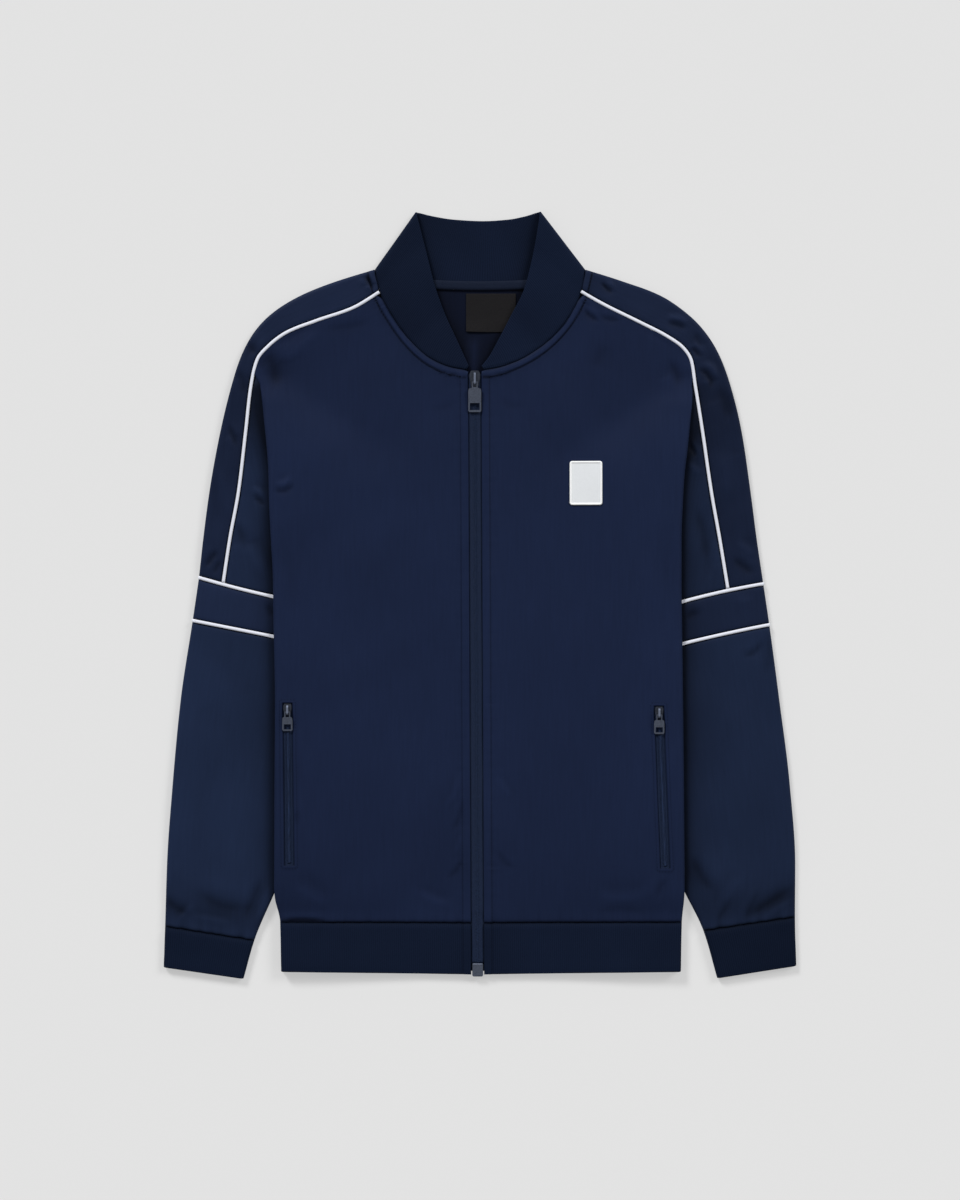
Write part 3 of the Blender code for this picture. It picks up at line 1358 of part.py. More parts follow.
def build_pocket(side, where, cutters):
    metal = material("pocket_metal_" + side, METAL, 0.35, 0.9)
    tape = material("pocket_tape_" + side, NAVY_TAPE, 0.7)
    front = bpy.data.objects["front_" + side]
    cut = front.modifiers.new("Pocket", "BOOLEAN")
    cut.operation = "DIFFERENCE"
    cut.object = pocket_slot(side, cutters)
    sheet("pocket_tape_" + side, pocket_tape_grid(side), TAPE_THICK, tape, where, flip=side == "left")
    top, bottom = POCKET[side]["top"], POCKET[side]["bottom"]

    def x_at(y):
        return SIGN[side] * pocket_x(side, y)

    def floor_at(y):
        return pocket_floor(side, y) + SEAM

    coil = coil_sections(x_at, floor_at, top - 2.0, bottom + 2.0, POCKET_COIL_HALF, POCKET_COIL_HIGH, 12)
    recalculate(tube("pocket_coil_" + side, coil, tape, where))
    slider_top = top - POCKET_SLIDER_TOP
    x, floor = x_at(slider_top - 6.0), floor_at(slider_top - 6.0)
    coil_top = floor + POCKET_COIL_HIGH
    half, high = POCKET_COIL_HALF, POCKET_COIL_HIGH
    slider("pocket_slider_" + side, "pocket", x, slider_top, floor, half, high, metal, where)
    hinge = hinge_place("pocket", x, slider_top, coil_top)
    size = SLIDERS["pocket"]
    tip_x = abs(x) + size["pull_wide"] / 2
    cloth = front_high(side, tip_x, hinge[1] - size["pull_long"])
    pull("pocket_pull_" + side, "pocket", hinge, max(cloth, coil_top) + SEAM, metal, where)


def build_patch(where):
    recalculate(tube("chest_patch", patch_loops(), material("chest_patch", PATCH_WHITE, 0.6), where))


def main():
    clear_scene()
    jacket = collection("track_jacket")
    cutters = collection("cutters", hidden=True)
    build_cloth(jacket)
    build_piping(jacket)
    build_front_zip(jacket)
    for side in SIDES:
        build_pocket(side, jacket, cutters)
    build_patch(jacket)


main()
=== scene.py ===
"""Looks of a track jacket that lies flat on its back: every maker's piece is a thin closed shell on its solid's
form, with creases, seams, stitching, zip teeth and procedural cloth.

Lengths are millimetres until a mesh is made. X runs across the jacket, Y up from hem to collar, Z up from the
floor. Sides are named as the wearer has them: "left" is at +X. Tables give x as the distance out from the
middle.
"""

import json
import math
from bisect import bisect_right
from functools import partial

import bpy
import numpy as np
from mathutils.bvhtree import BVHTree
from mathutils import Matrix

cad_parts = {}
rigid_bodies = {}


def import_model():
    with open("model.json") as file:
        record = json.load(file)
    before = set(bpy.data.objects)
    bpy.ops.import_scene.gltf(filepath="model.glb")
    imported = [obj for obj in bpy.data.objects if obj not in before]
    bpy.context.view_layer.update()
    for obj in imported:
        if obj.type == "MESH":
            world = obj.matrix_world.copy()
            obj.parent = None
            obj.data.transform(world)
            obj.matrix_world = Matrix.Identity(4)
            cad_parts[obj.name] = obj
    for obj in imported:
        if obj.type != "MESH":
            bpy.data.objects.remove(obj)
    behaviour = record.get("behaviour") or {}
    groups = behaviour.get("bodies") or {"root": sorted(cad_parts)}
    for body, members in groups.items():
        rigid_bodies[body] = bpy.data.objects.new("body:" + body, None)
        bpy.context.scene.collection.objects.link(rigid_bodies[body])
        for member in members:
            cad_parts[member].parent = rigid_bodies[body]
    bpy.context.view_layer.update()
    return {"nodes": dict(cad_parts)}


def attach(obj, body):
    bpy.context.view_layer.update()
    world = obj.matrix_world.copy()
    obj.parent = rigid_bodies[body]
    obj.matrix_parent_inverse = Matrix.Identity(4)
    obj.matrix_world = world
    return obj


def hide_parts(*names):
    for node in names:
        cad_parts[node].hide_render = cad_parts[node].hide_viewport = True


for leftover in list(bpy.data.objects):
    bpy.data.objects.remove(leftover, do_unlink=True)
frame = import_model()

MM = 0.001
SIGN = {"right": -1, "left": 1}
SIDES = ("right", "left")

# Cloth and how it is stacked, as in the solids
CLOTH, RIB, COLLAR = 1.1, 1.8, 2.2
SEAM = 0.04
LAYER = 0.3
SLEEVE_HIGH, SLEEVE_RISE, SLEEVE_CROWN = 6.5, 3.8, 0.7
BACK_FOLD, HEM_BACK_FOLD, BACK_FOLD_START = 3.2, 4.6, 2.6
FRONT_FOLD, FRONT_FOLD_START, FOLD_GROWS_OVER = 7.5, 2.6, 85.0
HEM_FLATTER, HEM_FLATTER_ABOVE, HEM_FLATTER_RUN = 1.6, 30.0, 60.0
CENTRE_HIGH = 6.3
RISE_FROM, RISE_LEVEL, RISE_AT_SHOULDER, RISE_SPREADS_OVER = 45.0, 10.0, 45.0, 120.0
NECK_STITCH, ZIP_STITCH = 7.0, 8.0
STITCHED_RAISE, STITCH_DENT = 0.9, 0.75
PIPING_HALF = 1.62
PIPING_SLOT = 1.75

HEM_SEAM, HEM_END, HEM_SAG = -327.5, -377.0, 3.0
BACK_NECK = 309.0
LIFT_FROM, LIFT_FULL, LIFT_UNTIL, LIFT_GONE = 212.0, 165.0, -299.0, -340.0
HEM_DROP_FROM, HEM_DROP_TO = -299.0, -322.0
BACK_OUT_FROM, BACK_OUT_RUN = 180.0, 13.0
FRONT_TURN_ABOVE, FRONT_TURN_RUN = 4.0, 34.0
SLEEVE_BELOW, OFF_SLEEVE, LIFT_RUN = -3.0, 6.5, 30.0
ROOM_FROM, ROOM_RUN = 8.0, 10.0

ZIP_TOP, ZIP_BOTTOM, ZIP_TOP_X, ZIP_BOTTOM_X, BOX_TOP = 225.0, -382.0, -5.3, -2.3, -368.8
ZIP_CHANNEL, ZIP_PROUD, ZIP_RIB_ABOVE, ZIP_RIB_RUN = 6.5, 0.6, 14.0, 12.0
TAPE_THICK, TAPE_HALF, TAPE_BELOW_TOP = 1.0, 13.0, 4.0
COIL_HALF, COIL_HIGH, COIL_PITCH, COIL_LIFT = 2.7, 1.19, 1.5, 0.15
COIL_BELOW_TOP, COIL_ABOVE_BOX = 2.0, 0.3

# Stripe panel. Columns: outline x, y; front seam x, y; back seam x, y.
STRIPE = {
    "right": [
        (105.6, 326.2, 100.0, 303.8, 84.3, 315.2), (142.0, 315.0, 128.0, 287.2, 124.0, 292.5),
        (180.0, 300.0, 164.0, 274.7, 163.0, 276.0), (210.0, 281.0, 194.0, 262.8, 194.0, 262.8),
        (228.0, 261.0, 212.0, 249.3, 212.0, 249.3), (240.0, 238.0, 223.0, 236.0, 223.0, 236.0),
        (249.0, 210.0, 229.3, 210.0, 229.3, 210.0), (260.0, 165.0, 234.7, 163.0, 234.7, 163.0),
        (271.0, 105.0, 241.9, 103.0, 241.9, 103.0), (277.0, 60.0, 250.2, 58.0, 250.2, 58.0),
        (281.7, 17.5, 257.4, 10.7, 257.4, 10.7),
    ],
    "left": [
        (105.6, 326.2, 100.4, 304.3, 84.3, 315.2), (141.0, 315.0, 123.0, 291.5, 122.0, 293.5),
        (181.0, 300.0, 162.0, 272.2, 161.0, 274.0), (210.0, 280.0, 186.0, 259.9, 186.0, 259.9),
        (227.6, 261.0, 204.0, 247.0, 204.0, 247.0), (240.5, 239.0, 211.5, 235.0, 211.5, 235.0),
        (251.0, 210.0, 215.5, 210.0, 215.5, 210.0), (262.0, 165.0, 222.9, 163.0, 222.9, 163.0),
        (271.0, 105.0, 231.7, 103.0, 231.7, 103.0), (277.5, 55.0, 240.2, 55.0, 240.2, 55.0),
        (284.0, 11.3, 248.5, 4.6, 248.5, 4.6),
    ],
}
# Sleeve. Columns: distance down it; outer fold x, y; inner fold x, y; bow.
SLEEVE = {
    "right": [
        (0.0, 281.7, 17.5, 132.0, -15.0, -3.0), (43.0, 288.0, -25.5, 138.5, -55.0, 0.0),
        (123.0, 300.0, -105.0, 158.0, -137.0, 0.0), (211.0, 308.5, -195.0, 180.0, -220.0, 0.0),
        (280.0, 313.5, -265.0, 200.5, -285.0, 0.0), (344.0, 315.6, -332.0, 226.2, -346.3, 0.0),
        (384.5, 317.0, -373.0, 237.0, -384.6, 0.0),
    ],
    "left": [
        (0.0, 284.0, 11.3, 127.5, -31.0, 4.0), (42.0, 290.0, -29.7, 135.5, -67.0, 2.0),
        (120.0, 300.0, -105.0, 156.0, -140.0, 0.0), (205.0, 310.5, -190.0, 176.0, -220.0, 0.0),
        (284.0, 316.0, -270.0, 201.0, -289.0, 0.0), (335.0, 315.7, -322.7, 223.9, -336.4, 0.0),
        (383.0, 317.0, -371.6, 237.7, -384.0, 0.0),
    ],
}
BAND_LENGTH = {side: SLEEVE[side][1][0] for side in SIDES}
CUFF_SEAM = {side: SLEEVE[side][5][0] for side in SIDES}
CUFF_END = {side: SLEEVE[side][6][0] for side in SIDES}
# The body's outer edge. Columns: y; x of the right edge; x of the left edge.
BODY_EDGE = [
    (228.0, 222.5, 211.5), (215.0, 221.0, 213.0), (195.0, 218.0, 212.5), (175.0, 216.0, 210.5),
    (145.0, 213.0, 207.5), (120.0, 211.5, 204.5), (95.0, 211.0, 203.0), (55.0, 209.0, 201.5),
    (15.0, 207.0, 201.5), (-25.0, 206.5, 202.0), (-105.0, 205.0, 203.0), (-205.0, 205.5, 204.0),
    (-297.0, 205.8, 204.5), (-327.5, 200.0, 202.0), (-377.0, 199.0, 201.0),
]
# How wide the side is that folds under. Columns: y; width.
TUCK = [
    (228.0, 2.2), (195.0, 6.0), (165.0, 12.0), (135.0, 19.0), (95.0, 31.0), (45.0, 48.0), (5.0, 65.0),
    (-20.0, 75.0), (-170.0, 68.0), (-377.0, 55.0),
]
# Collar along a front. Columns: seam x, y; edge x, y.
COLLAR_FRONT = {
    "right": [
        (105.0, 326.5, 64.2, 384.0), (99.0, 302.0, 54.3, 346.0), (85.0, 276.0, 45.5, 311.0),
        (66.0, 251.0, 34.0, 279.0), (47.0, 235.5, 24.5, 258.5), (28.0, 227.8, 16.0, 240.0),
        (14.0, 225.3, 11.2, 229.5),
    ],
    "left": [
        (105.0, 326.5, 60.5, 384.6), (100.5, 303.5, 54.0, 345.0), (86.6, 276.0, 44.0, 306.0),
        (63.0, 250.5, 31.0, 280.0), (38.0, 235.0, 17.5, 254.0), (17.0, 227.5, 8.5, 238.0),
        (4.0, 225.3, 1.6, 229.5),
    ],
}
# Collar along the back. Columns: seam x, y; edge x, y, all as they lie.
COLLAR_BACK = [
    (-105.0, 326.5, -64.2, 384.0), (-84.0, 316.0, -48.0, 380.0), (-50.0, 310.5, -26.0, 376.5),
    (0.0, 309.0, 3.0, 375.0), (50.0, 310.5, 28.0, 376.5), (84.0, 316.0, 46.0, 380.0),
    (105.0, 326.5, 60.5, 384.6),
]
COLLAR_HIGH, COLLAR_SIDE, COLLAR_BACK_BESIDE = 8.2, 105.0, 84.0
COLLAR_ZIP_DROP, COLLAR_ARC, COLLAR_SETTLES = 0.9, 0.12, 0.35
COLLAR_UNDER = -0.016  # how far the collar reaches past its seam, as a share of its height
# Soft dips and swells across the collar. Columns: distance from its ends; width; height.
COLLAR_WAVES = ((58.0, 10.0, -0.6), (96.0, 14.0, 0.5), (128.0, 9.0, -0.5))
# The opening of the neck. Columns: y; half its width.
MOUTH = [(229.5, 6.0), (240.0, 12.0), (258.5, 21.0), (279.0, 32.0), (311.0, 44.5), (346.0, 54.0), (384.0, 62.0)]
MOUTH_MIDDLE = -2.0
# Neck tape. Columns: distance above the neck seam; height.
NECK_TAPE = [(5.6, 3.5), (0.6, 3.5), (-0.9, 3.5), (-4.0, 2.9)]
NECK_TAPE_END = 76.0
LABEL_LEFT, LABEL_RIGHT, LABEL_TOP, LABEL_BOTTOM = -14.0, 36.0, 302.2, 264.0
LABEL_THICK, LABEL_HIGH, LABEL_CURL, LABEL_CURLS_BELOW = 0.7, 2.1, 0.5, 280.0
LABEL_SAG, LABEL_BOW, LABEL_BOWS_BELOW, LABEL_BOW_RUN = 1.2, 0.45, 276.0, 14.0

POCKET = {
    "right": {"top": -108.0, "bottom": -270.0, "x_top": 192.3, "x_bottom": 190.4},
    "left": {"top": -111.0, "bottom": -273.0, "x_top": 178.6, "x_bottom": 185.0},
}
POCKET_HALF, POCKET_TAPE_HALF, POCKET_TAPE_PAST, POCKET_UNDER, POCKET_STITCH = 4.8, 7.5, 3.0, 0.6, 3.3
POCKET_COIL_HALF, POCKET_COIL_HIGH, POCKET_COIL_PITCH = 2.2, 1.04, 1.3
POCKET_COIL_LIFT, POCKET_COIL_SHORT = 0.55, 2.0
PATCH_X, PATCH_Y, PATCH_WIDE, PATCH_TALL, PATCH_CORNER = 106.0, 112.0, 32.6, 44.2, 2.6

# How a wall ends: the radius of the outer face's rounding, whether the inner face has one too, and how far the
# cloth dips into its seam, which also sets how much shade is painted along the seam
SEAM_EDGE = (1.2, False, 1.0)
HEM_EDGE = (1.3, False, 1.4)
RIB_SEAM = (1.5, False, 1.2)
ZIP_EDGE = (0.9, False, 0.0)
FOLDED = (0.86, True, 0.0)
CUT = (0.8, False, 0.0)

# Painted light and shade are shares of a cloth's colour that are added to it. How much shade is painted into a
# crease one millimetre deep and how much light onto one that high, how high the swell beside it is for one of
# that height, and how much shade is painted along a seam
VALLEY_PAINTED_SHADE, RIDGE_PAINTED_LIGHT, SWELL_BESIDE, SEAM_PAINTED_SHADE = 0.32, 0.15, 0.45, 0.5
# Painted light on each side's sleeve, stripe and band: lighter on the right, where the light comes from, darker on
# the left
SLEEVE_PAINTED_LIGHT = {"right": 0.07, "left": -0.07}
# Painted light on the cuffs: the right one a little lighter, the left one darker, as the light falls
CUFF_PAINTED_LIGHT = {"right": 0.05, "left": -0.16}
# The bands are lifted towards the body's colour, which is their own colour; that the right band is lifted more is
# painted light
BAND_COLOUR_AND_PAINTED_LIGHT = {"right": 0.34, "left": 0.15}


# ------------------------------------------------------------------------------------------------ curves


def smooth(share):
    share = np.clip(share, 0.0, 1.0)
    return share * share * (3.0 - 2.0 * share)


def mix(a, b, share):
    return np.asarray(a, float) * (1.0 - share) + np.asarray(b, float) * share


def unit(vector):
    vector = np.asarray(vector, float)
    return vector / np.linalg.norm(vector)


def spread(count, start=0.0, end=1.0):
    return list(np.linspace(start, end, count))


class Curve:
    """A smooth curve through table rows whose first column rises, which never swings past them."""

    def __init__(self, rows):
        rows = np.asarray(sorted(rows, key=lambda row: row[0]), float)
        keys, values = rows[:, 0], rows[:, 1:]
        steps = np.diff(keys)
        secants = np.diff(values, axis=0) / steps[:, None]
        slopes = np.zeros_like(values)
        slopes[0], slopes[-1] = secants[0], secants[-1]
        for i in range(1, len(keys) - 1):
            before, after = secants[i - 1], secants[i]
            same = before * after > 0
            w1, w2 = 2 * steps[i] + steps[i - 1], steps[i] + 2 * steps[i - 1]
            harmonic = (w1 + w2) / (w1 / np.where(same, before, 1.0) + w2 / np.where(same, after, 1.0))
            slopes[i] = np.where(same, harmonic, 0.0)
        self.keys, self.values, self.slopes = keys, values, slopes

    def __call__(self, key):
        key = min(max(float(key), self.keys[0]), self.keys[-1])
        i = min(bisect_right(self.keys, key), len(self.keys) - 1) - 1
        step = self.keys[i + 1] - self.keys[i]
        f = (key - self.keys[i]) / step
        a, b = self.values[i], self.values[i + 1]
        return (a * (1 + 2 * f) * (1 - f) ** 2 + b * f * f * (3 - 2 * f)
                + self.slopes[i] * step * f * (1 - f) ** 2 - self.slopes[i + 1] * step * f * f * (1 - f))


def by_length(rows, columns):
    path = np.asarray(rows, float)[:, columns]
    run = np.concatenate([[0.0], np.cumsum(np.linalg.norm(np.diff(path, axis=0), axis=1))])
    return Curve([(length, *row) for length, row in zip(run, rows)])


EDGE_CURVE, TUCK_CURVE, BACK_NECK_CURVE = Curve(BODY_EDGE), Curve(TUCK), Curve(COLLAR_BACK)
STRIPE_CURVE = {side: by_length(STRIPE[side], [2, 3]) for side in SIDES}
STRIPE_LENGTH = {side: STRIPE_CURVE[side].keys[-1] for side in SIDES}
SLEEVE_CURVE = {side: Curve(SLEEVE[side]) for side in SIDES}
INNER_FOLD_CURVE = {side: Curve([(row[4], row[3]) for row in SLEEVE[side]]) for side in SIDES}
NECK_CURVE = {side: by_length(COLLAR_FRONT[side], [0, 1]) for side in SIDES}


def station_at_height(curve, y, column=1):
    low, high = curve.keys[0], curve.keys[-1]
    for _ in range(40):
        middle = (low + high) / 2
        if curve(middle)[column] > y:
            low = middle
        else:
            high = middle
    return (low + high) / 2


def edge_x(side, y):
    return EDGE_CURVE(y)[SIDES.index(side)]


def tuck(y):
    return TUCK_CURVE(y)[0]


def inner_fold_x(side, y):
    return INNER_FOLD_CURVE[side](y)[0]


def zip_x(y):
    return ZIP_BOTTOM_X + (ZIP_TOP_X - ZIP_BOTTOM_X) * (y - ZIP_BOTTOM) / (ZIP_TOP - ZIP_BOTTOM)


def shoulder_y(side):
    return 222.0 if side == "right" else 218.0


# ------------------------------------------------------------------------------------------------ heights


def lift(y):
    grown = smooth((LIFT_FROM - y) / (LIFT_FROM - LIFT_FULL))
    return grown * smooth((y - LIFT_GONE) / (LIFT_UNTIL - LIFT_GONE))


def hem_drop(y):
    return smooth((HEM_DROP_FROM - y) / (HEM_DROP_FROM - HEM_DROP_TO))


def lifted(side, x, y):
    return lift(y) * (1.0 - smooth((x - edge_x(side, y)) / LIFT_RUN))


def sleeve_low(side, x, y):
    return SLEEVE_RISE * lifted(side, x, y)


def sleeve_top(side, x, y):
    return SLEEVE_HIGH + SLEEVE_CROWN * lifted(side, x, y)


def front_low(side, x, y):
    on_sleeve = SLEEVE_HIGH + SLEEVE_CROWN * lift(y) + LAYER
    if y < HEM_DROP_FROM:
        return on_sleeve + (HEM_BACK_FOLD + LAYER - on_sleeve) * hem_drop(y)
    room = inner_fold_x(side, y) - (edge_x(side, y) - tuck(y))
    if y > SLEEVE[side][0][4] or room < ROOM_FROM:
        return on_sleeve
    down = smooth((inner_fold_x(side, y) - OFF_SLEEVE - x) / (room - OFF_SLEEVE))
    down = down * smooth((room - ROOM_FROM) / ROOM_RUN)
    return on_sleeve + (BACK_FOLD + LAYER - on_sleeve) * down


def fold_height(side, y):
    grown = smooth((shoulder_y(side) - y) / FOLD_GROWS_OVER)
    height = FRONT_FOLD_START + (FRONT_FOLD - FRONT_FOLD_START) * grown
    return height - HEM_FLATTER * smooth((HEM_DROP_FROM + HEM_FLATTER_ABOVE - y) / HEM_FLATTER_RUN)


def front_turn(side, y):
    return smooth((shoulder_y(side) + FRONT_TURN_ABOVE - y) / FRONT_TURN_RUN)


def front_edge_high(side, y):
    folded = front_low(side, edge_x(side, y), y) + fold_height(side, y)
    return SLEEVE_HIGH + (folded - SLEEVE_HIGH) * front_turn(side, y)


def front_high(side, x, y):
    edge = edge_x(side, min(y, shoulder_y(side)))
    reach = mix(RISE_AT_SHOULDER, edge - RISE_FROM, smooth((shoulder_y(side) - y) / RISE_SPREADS_OVER))
    share = smooth((x - edge + reach) / (reach - RISE_LEVEL))
    return float(CENTRE_HIGH + (front_edge_high(side, y) - CENTRE_HIGH) * share)


# ------------------------------------------------------------------------------------------------ places


def place(side, x, y, z):
    return (SIGN[side] * x, y, z)


def wrap(outer, inward, high, low, share):
    radius = (high - low) / 2
    angle = math.pi / 2 - math.pi * share
    plan = np.asarray(outer, float) + np.asarray(inward, float) * abs(radius) * (1 - math.cos(angle))
    return plan, (high + low) / 2 + radius * math.sin(angle)


FRONT_SEAM, BACK_SEAM = (2, 3), (4, 5)


def seam_at(side, station, columns):
    curve = STRIPE_CURVE[side]
    here, ahead, behind = (
        np.array([curve(min(max(station + step, 0.0), STRIPE_LENGTH[side]))[c] for c in columns])
        for step in (0.0, 1.5, -1.5)
    )
    run = unit(ahead - behind)
    return here, np.array((-run[1], run[0]))


def seam_edge(side, station, columns, outward):
    here, out = seam_at(side, station, columns)
    return here + out * PIPING_SLOT * outward


def stripe_point(side, station, share):
    outline = STRIPE_CURVE[side](station)[:2]
    front, back = seam_edge(side, station, FRONT_SEAM, 1), seam_edge(side, station, BACK_SEAM, 1)
    out_front, out_back = unit(outline - front), unit(outline - back)
    high, low = sleeve_top(side, *outline), sleeve_low(side, *outline)
    radius = (high - low) / 2
    if share <= 0.4:
        plan = mix(front, outline - out_front * radius, share / 0.4)
        z = sleeve_top(side, *plan)
    elif share < 0.6:
        inward = -mix(out_front, out_back, (share - 0.4) / 0.2)
        plan, z = wrap(outline, inward, high, low, (share - 0.4) / 0.2)
    else:
        plan = mix(outline - out_back * radius, back, (share - 0.6) / 0.4)
        z = sleeve_low(side, *plan)
    return place(side, plan[0], plan[1], z)


def across_sleeve(side, distance):
    ox, oy, ix, iy, bow = SLEEVE_CURVE[side](distance)
    return np.array((ox, oy)), np.array((ix, iy)), bow


def ring_point(side, distance, share):
    """Round the sleeve: to 0.4 its upper face from the outer to the inner fold, to 0.5 the inner fold, to 0.9 its
    under face, and on to 1.0 the outer fold."""
    outer, inner, bow = across_sleeve(side, distance)
    inward = unit(inner - outer)
    width = np.linalg.norm(inner - outer)
    ro = (sleeve_top(side, *outer) - sleeve_low(side, *outer)) / 2
    ri = (sleeve_top(side, *inner) - sleeve_low(side, *inner)) / 2
    if share <= 0.4 or 0.5 <= share <= 0.9:
        f = share / 0.4 if share <= 0.4 else 1.0 - (share - 0.5) / 0.4
        along = ro + (width - ro - ri) * f
        plan = outer + inward * along
        level = sleeve_top if share <= 0.4 else sleeve_low
        plan = plan + np.array((0.0, bow * 4 * (along / width) * (1 - along / width)))
        return place(side, plan[0], plan[1], level(side, *plan))
    if share < 0.5:
        high, low = sleeve_top(side, *inner), sleeve_low(side, *inner)
        plan, z = wrap(inner, -inward, high, low, (share - 0.4) / 0.1)
    else:
        high, low = sleeve_top(side, *outer), sleeve_low(side, *outer)
        plan, z = wrap(outer, inward, high, low, 1.0 - (share - 0.9) / 0.1)
    return place(side, plan[0], plan[1], z)


FRONT_FIRST_STATION = 4.5


def armhole_point(side, y):
    return np.array((edge_x(side, y) - tuck(y), y))


def band_line(side, x):
    outer, inner, bow = across_sleeve(side, 0.0)
    f = (outer[0] - x) / (outer[0] - inner[0])
    return outer[1] + (inner[1] - outer[1]) * f + bow * 4 * f * (1 - f)


def upper_sleeve_point(side, under, run, share):
    top = shoulder_y(side) - SLEEVE_BELOW
    first = station_at_height(STRIPE_CURVE[side], top, column=3)
    last = STRIPE_LENGTH[side] - PIPING_SLOT

    def row_ends(at):
        far_y = mix(top, SLEEVE[side][0][4] + PIPING_SLOT * 1.05, at)
        return seam_edge(side, mix(first, last, at), FRONT_SEAM, -1), armhole_point(side, far_y)

    near, far = row_ends(run)
    plan = mix(near, far, share)
    end = mix(*row_ends(1.0), share)
    plan[1] += (band_line(side, end[0]) + PIPING_SLOT * 1.05 - end[1]) * run ** 3
    level = sleeve_low if under else sleeve_top
    return place(side, plan[0], plan[1], level(side, *plan))


def neck_seam(side, share, off=0.0):
    curve = NECK_CURVE[side]
    key = curve.keys[-1] * share
    here, ahead = curve(key)[:2], curve(min(key + 1.0, curve.keys[-1]))[:2]
    run = unit(ahead - curve(max(key - 1.0, 0.0))[:2])
    return here + np.array((-run[1], run[0])) * off


NECK_FIRST, NECK_LAST, NECK_GAP = 0.21, 0.985, 0.1


YOKE_END = {side: station_at_height(STRIPE_CURVE[side], shoulder_y(side), column=3) for side in SIDES}
# How far outside the body's edge a front's edge leaves the piping, and over what length it comes in to it
SHOULDER_OUT = {side: seam_edge(side, YOKE_END[side], FRONT_SEAM, -1)[0] - edge_x(side, shoulder_y(side))
                for side in SIDES}
SHOULDER_SETTLES = 14.0


def front_row(side, run):
    top = shoulder_y(side)
    if run <= 1.0:
        start = neck_seam(side, mix(NECK_FIRST, NECK_LAST, run), NECK_GAP)
        return start, seam_edge(side, mix(FRONT_FIRST_STATION, YOKE_END[side], run), FRONT_SEAM, -1)
    y = mix(top, HEM_SEAM + SEAM, run - 1.0)
    start_y = mix(neck_seam(side, NECK_LAST, NECK_GAP)[1], HEM_SEAM + SEAM - HEM_SAG * 0.4, run - 1.0)
    end_x = edge_x(side, y) + SHOULDER_OUT[side] * (1.0 - smooth((top - y) / SHOULDER_SETTLES))
    return np.array((ZIP_CHANNEL + SIGN[side] * zip_x(start_y), start_y)), np.array((end_x, y))


FACE, ARC, FLAT_ARC, LEAST_TURN, LEAST_LEG = 0.62, 0.80, 3.0, 0.02, 0.6
# Where the stretches begin and end that a row runs through: a panel's, the stripe's, the sleeve's and the collar's
PANEL_STOPS = (0.0, FACE, ARC, 1.0)
STRIPE_STOPS = (0.0, 0.4, 0.6, 1.0)
RING_STOPS = (0.0, 0.4, 0.5, 0.9, 1.0)
COLLAR_STOPS = (-1.0, -COLLAR_ARC, COLLAR_ARC, 1.0)


def panel_point(share, start, edge, face, back_face, turn, tucked):
    """Across one half of a body panel: up to FACE on its face, to ARC on the edge that turns over, then on the leg
    that lies under it."""
    level, base = face(*edge), back_face(*edge)
    angle = math.pi * max(turn, LEAST_TURN)
    radius = mix(FLAT_ARC, math.pi * abs(level - base) / 2, turn) / angle
    leg = max(tucked - radius, LEAST_LEG)
    way = 1.0 if base > level else -1.0
    run = edge - start
    width = np.linalg.norm(run)
    along = run / width
    reach = radius * math.sin(min(angle, math.pi / 2)) + leg * max(math.cos(angle), 0.0)
    if share <= FACE:
        plan = start + along * (width - reach) * share / FACE
        return np.array((plan[0], plan[1], face(*plan)))
    turned = angle * min((share - FACE) / (ARC - FACE), 1.0)
    past = leg * max((share - ARC) / (1 - ARC), 0.0)
    plan = edge + along * (radius * math.sin(turned) + past * math.cos(turned) - reach)
    if share > ARC and turn >= 1.0:
        return np.array((plan[0], plan[1], back_face(*plan)))
    rise = radius * (1.0 - math.cos(turned)) + past * math.sin(turned)
    return np.array((plan[0], plan[1], level + way * rise))


def front_point(side, run, share):
    start, end = front_row(side, run)
    faces = partial(front_high, side), partial(front_low, side)
    turn = float(front_turn(side, end[1]))
    return place(side, *panel_point(share, start, end, *faces, turn, tuck(end[1])))


def on_floor(x, y):
    return 0.0


def back_row(side, run):
    top = shoulder_y(side)
    if run <= 1.0:
        station = mix(FRONT_FIRST_STATION, YOKE_END[side], run)
        return np.array((0.0, mix(BACK_NECK - 2 * SEAM, top, run))), seam_edge(side, station, BACK_SEAM, -1)
    y = mix(top, HEM_SEAM + SEAM, run - 1.0)
    moved_out = smooth((BACK_OUT_FROM - y) / BACK_OUT_RUN)
    return np.array((0.0, y)), np.array((mix(armhole_point(side, y)[0] - 0.3, edge_x(side, y), moved_out), y))


def sleeve_room(y):
    return SLEEVE_RISE * lift(y) - LAYER if y > 0 else BACK_FOLD


def back_return_high(y):
    under_sleeve = max(min(BACK_FOLD, sleeve_room(y)), BACK_FOLD_START)
    return under_sleeve + (HEM_BACK_FOLD - under_sleeve) * hem_drop(y)


def back_point(side, run, share):
    start, edge = back_row(side, run)
    tucked = edge[0] - armhole_point(side, edge[1])[0]
    turn = min(max(float(sleeve_room(edge[1])) / BACK_FOLD_START, 0.0), 1.0) if run > 1.0 else 0.0
    x, y, z = panel_point(share, start, edge, on_floor, lambda x, y: back_return_high(y), turn, tucked)
    if run < 1.0:
        rise = BACK_NECK_CURVE(SIGN[side] * min(x, COLLAR_BACK_BESIDE))[0] - BACK_NECK
        straight = (edge[1] - start[1]) * x / edge[0]
        y += (rise - straight) * (1.0 - run) ** 2 * (1.0 - (x / edge[0]) ** 4)
    return place(side, x, y, z)


def hem_front_point(side, down, share):
    y = mix(HEM_SEAM - SEAM, HEM_END, down)
    start_y = mix(HEM_SEAM - SEAM - HEM_SAG * 0.4, HEM_END - HEM_SAG, down)
    start = np.array((ZIP_CHANNEL + SIGN[side] * zip_x(start_y), start_y))
    edge = np.array((edge_x(side, y), y))
    point = panel_point(share, start, edge, lambda x, _: front_high(side, x, y),
                        lambda x, _: HEM_BACK_FOLD + LAYER, 1.0, tuck(y))
    return place(side, *point)


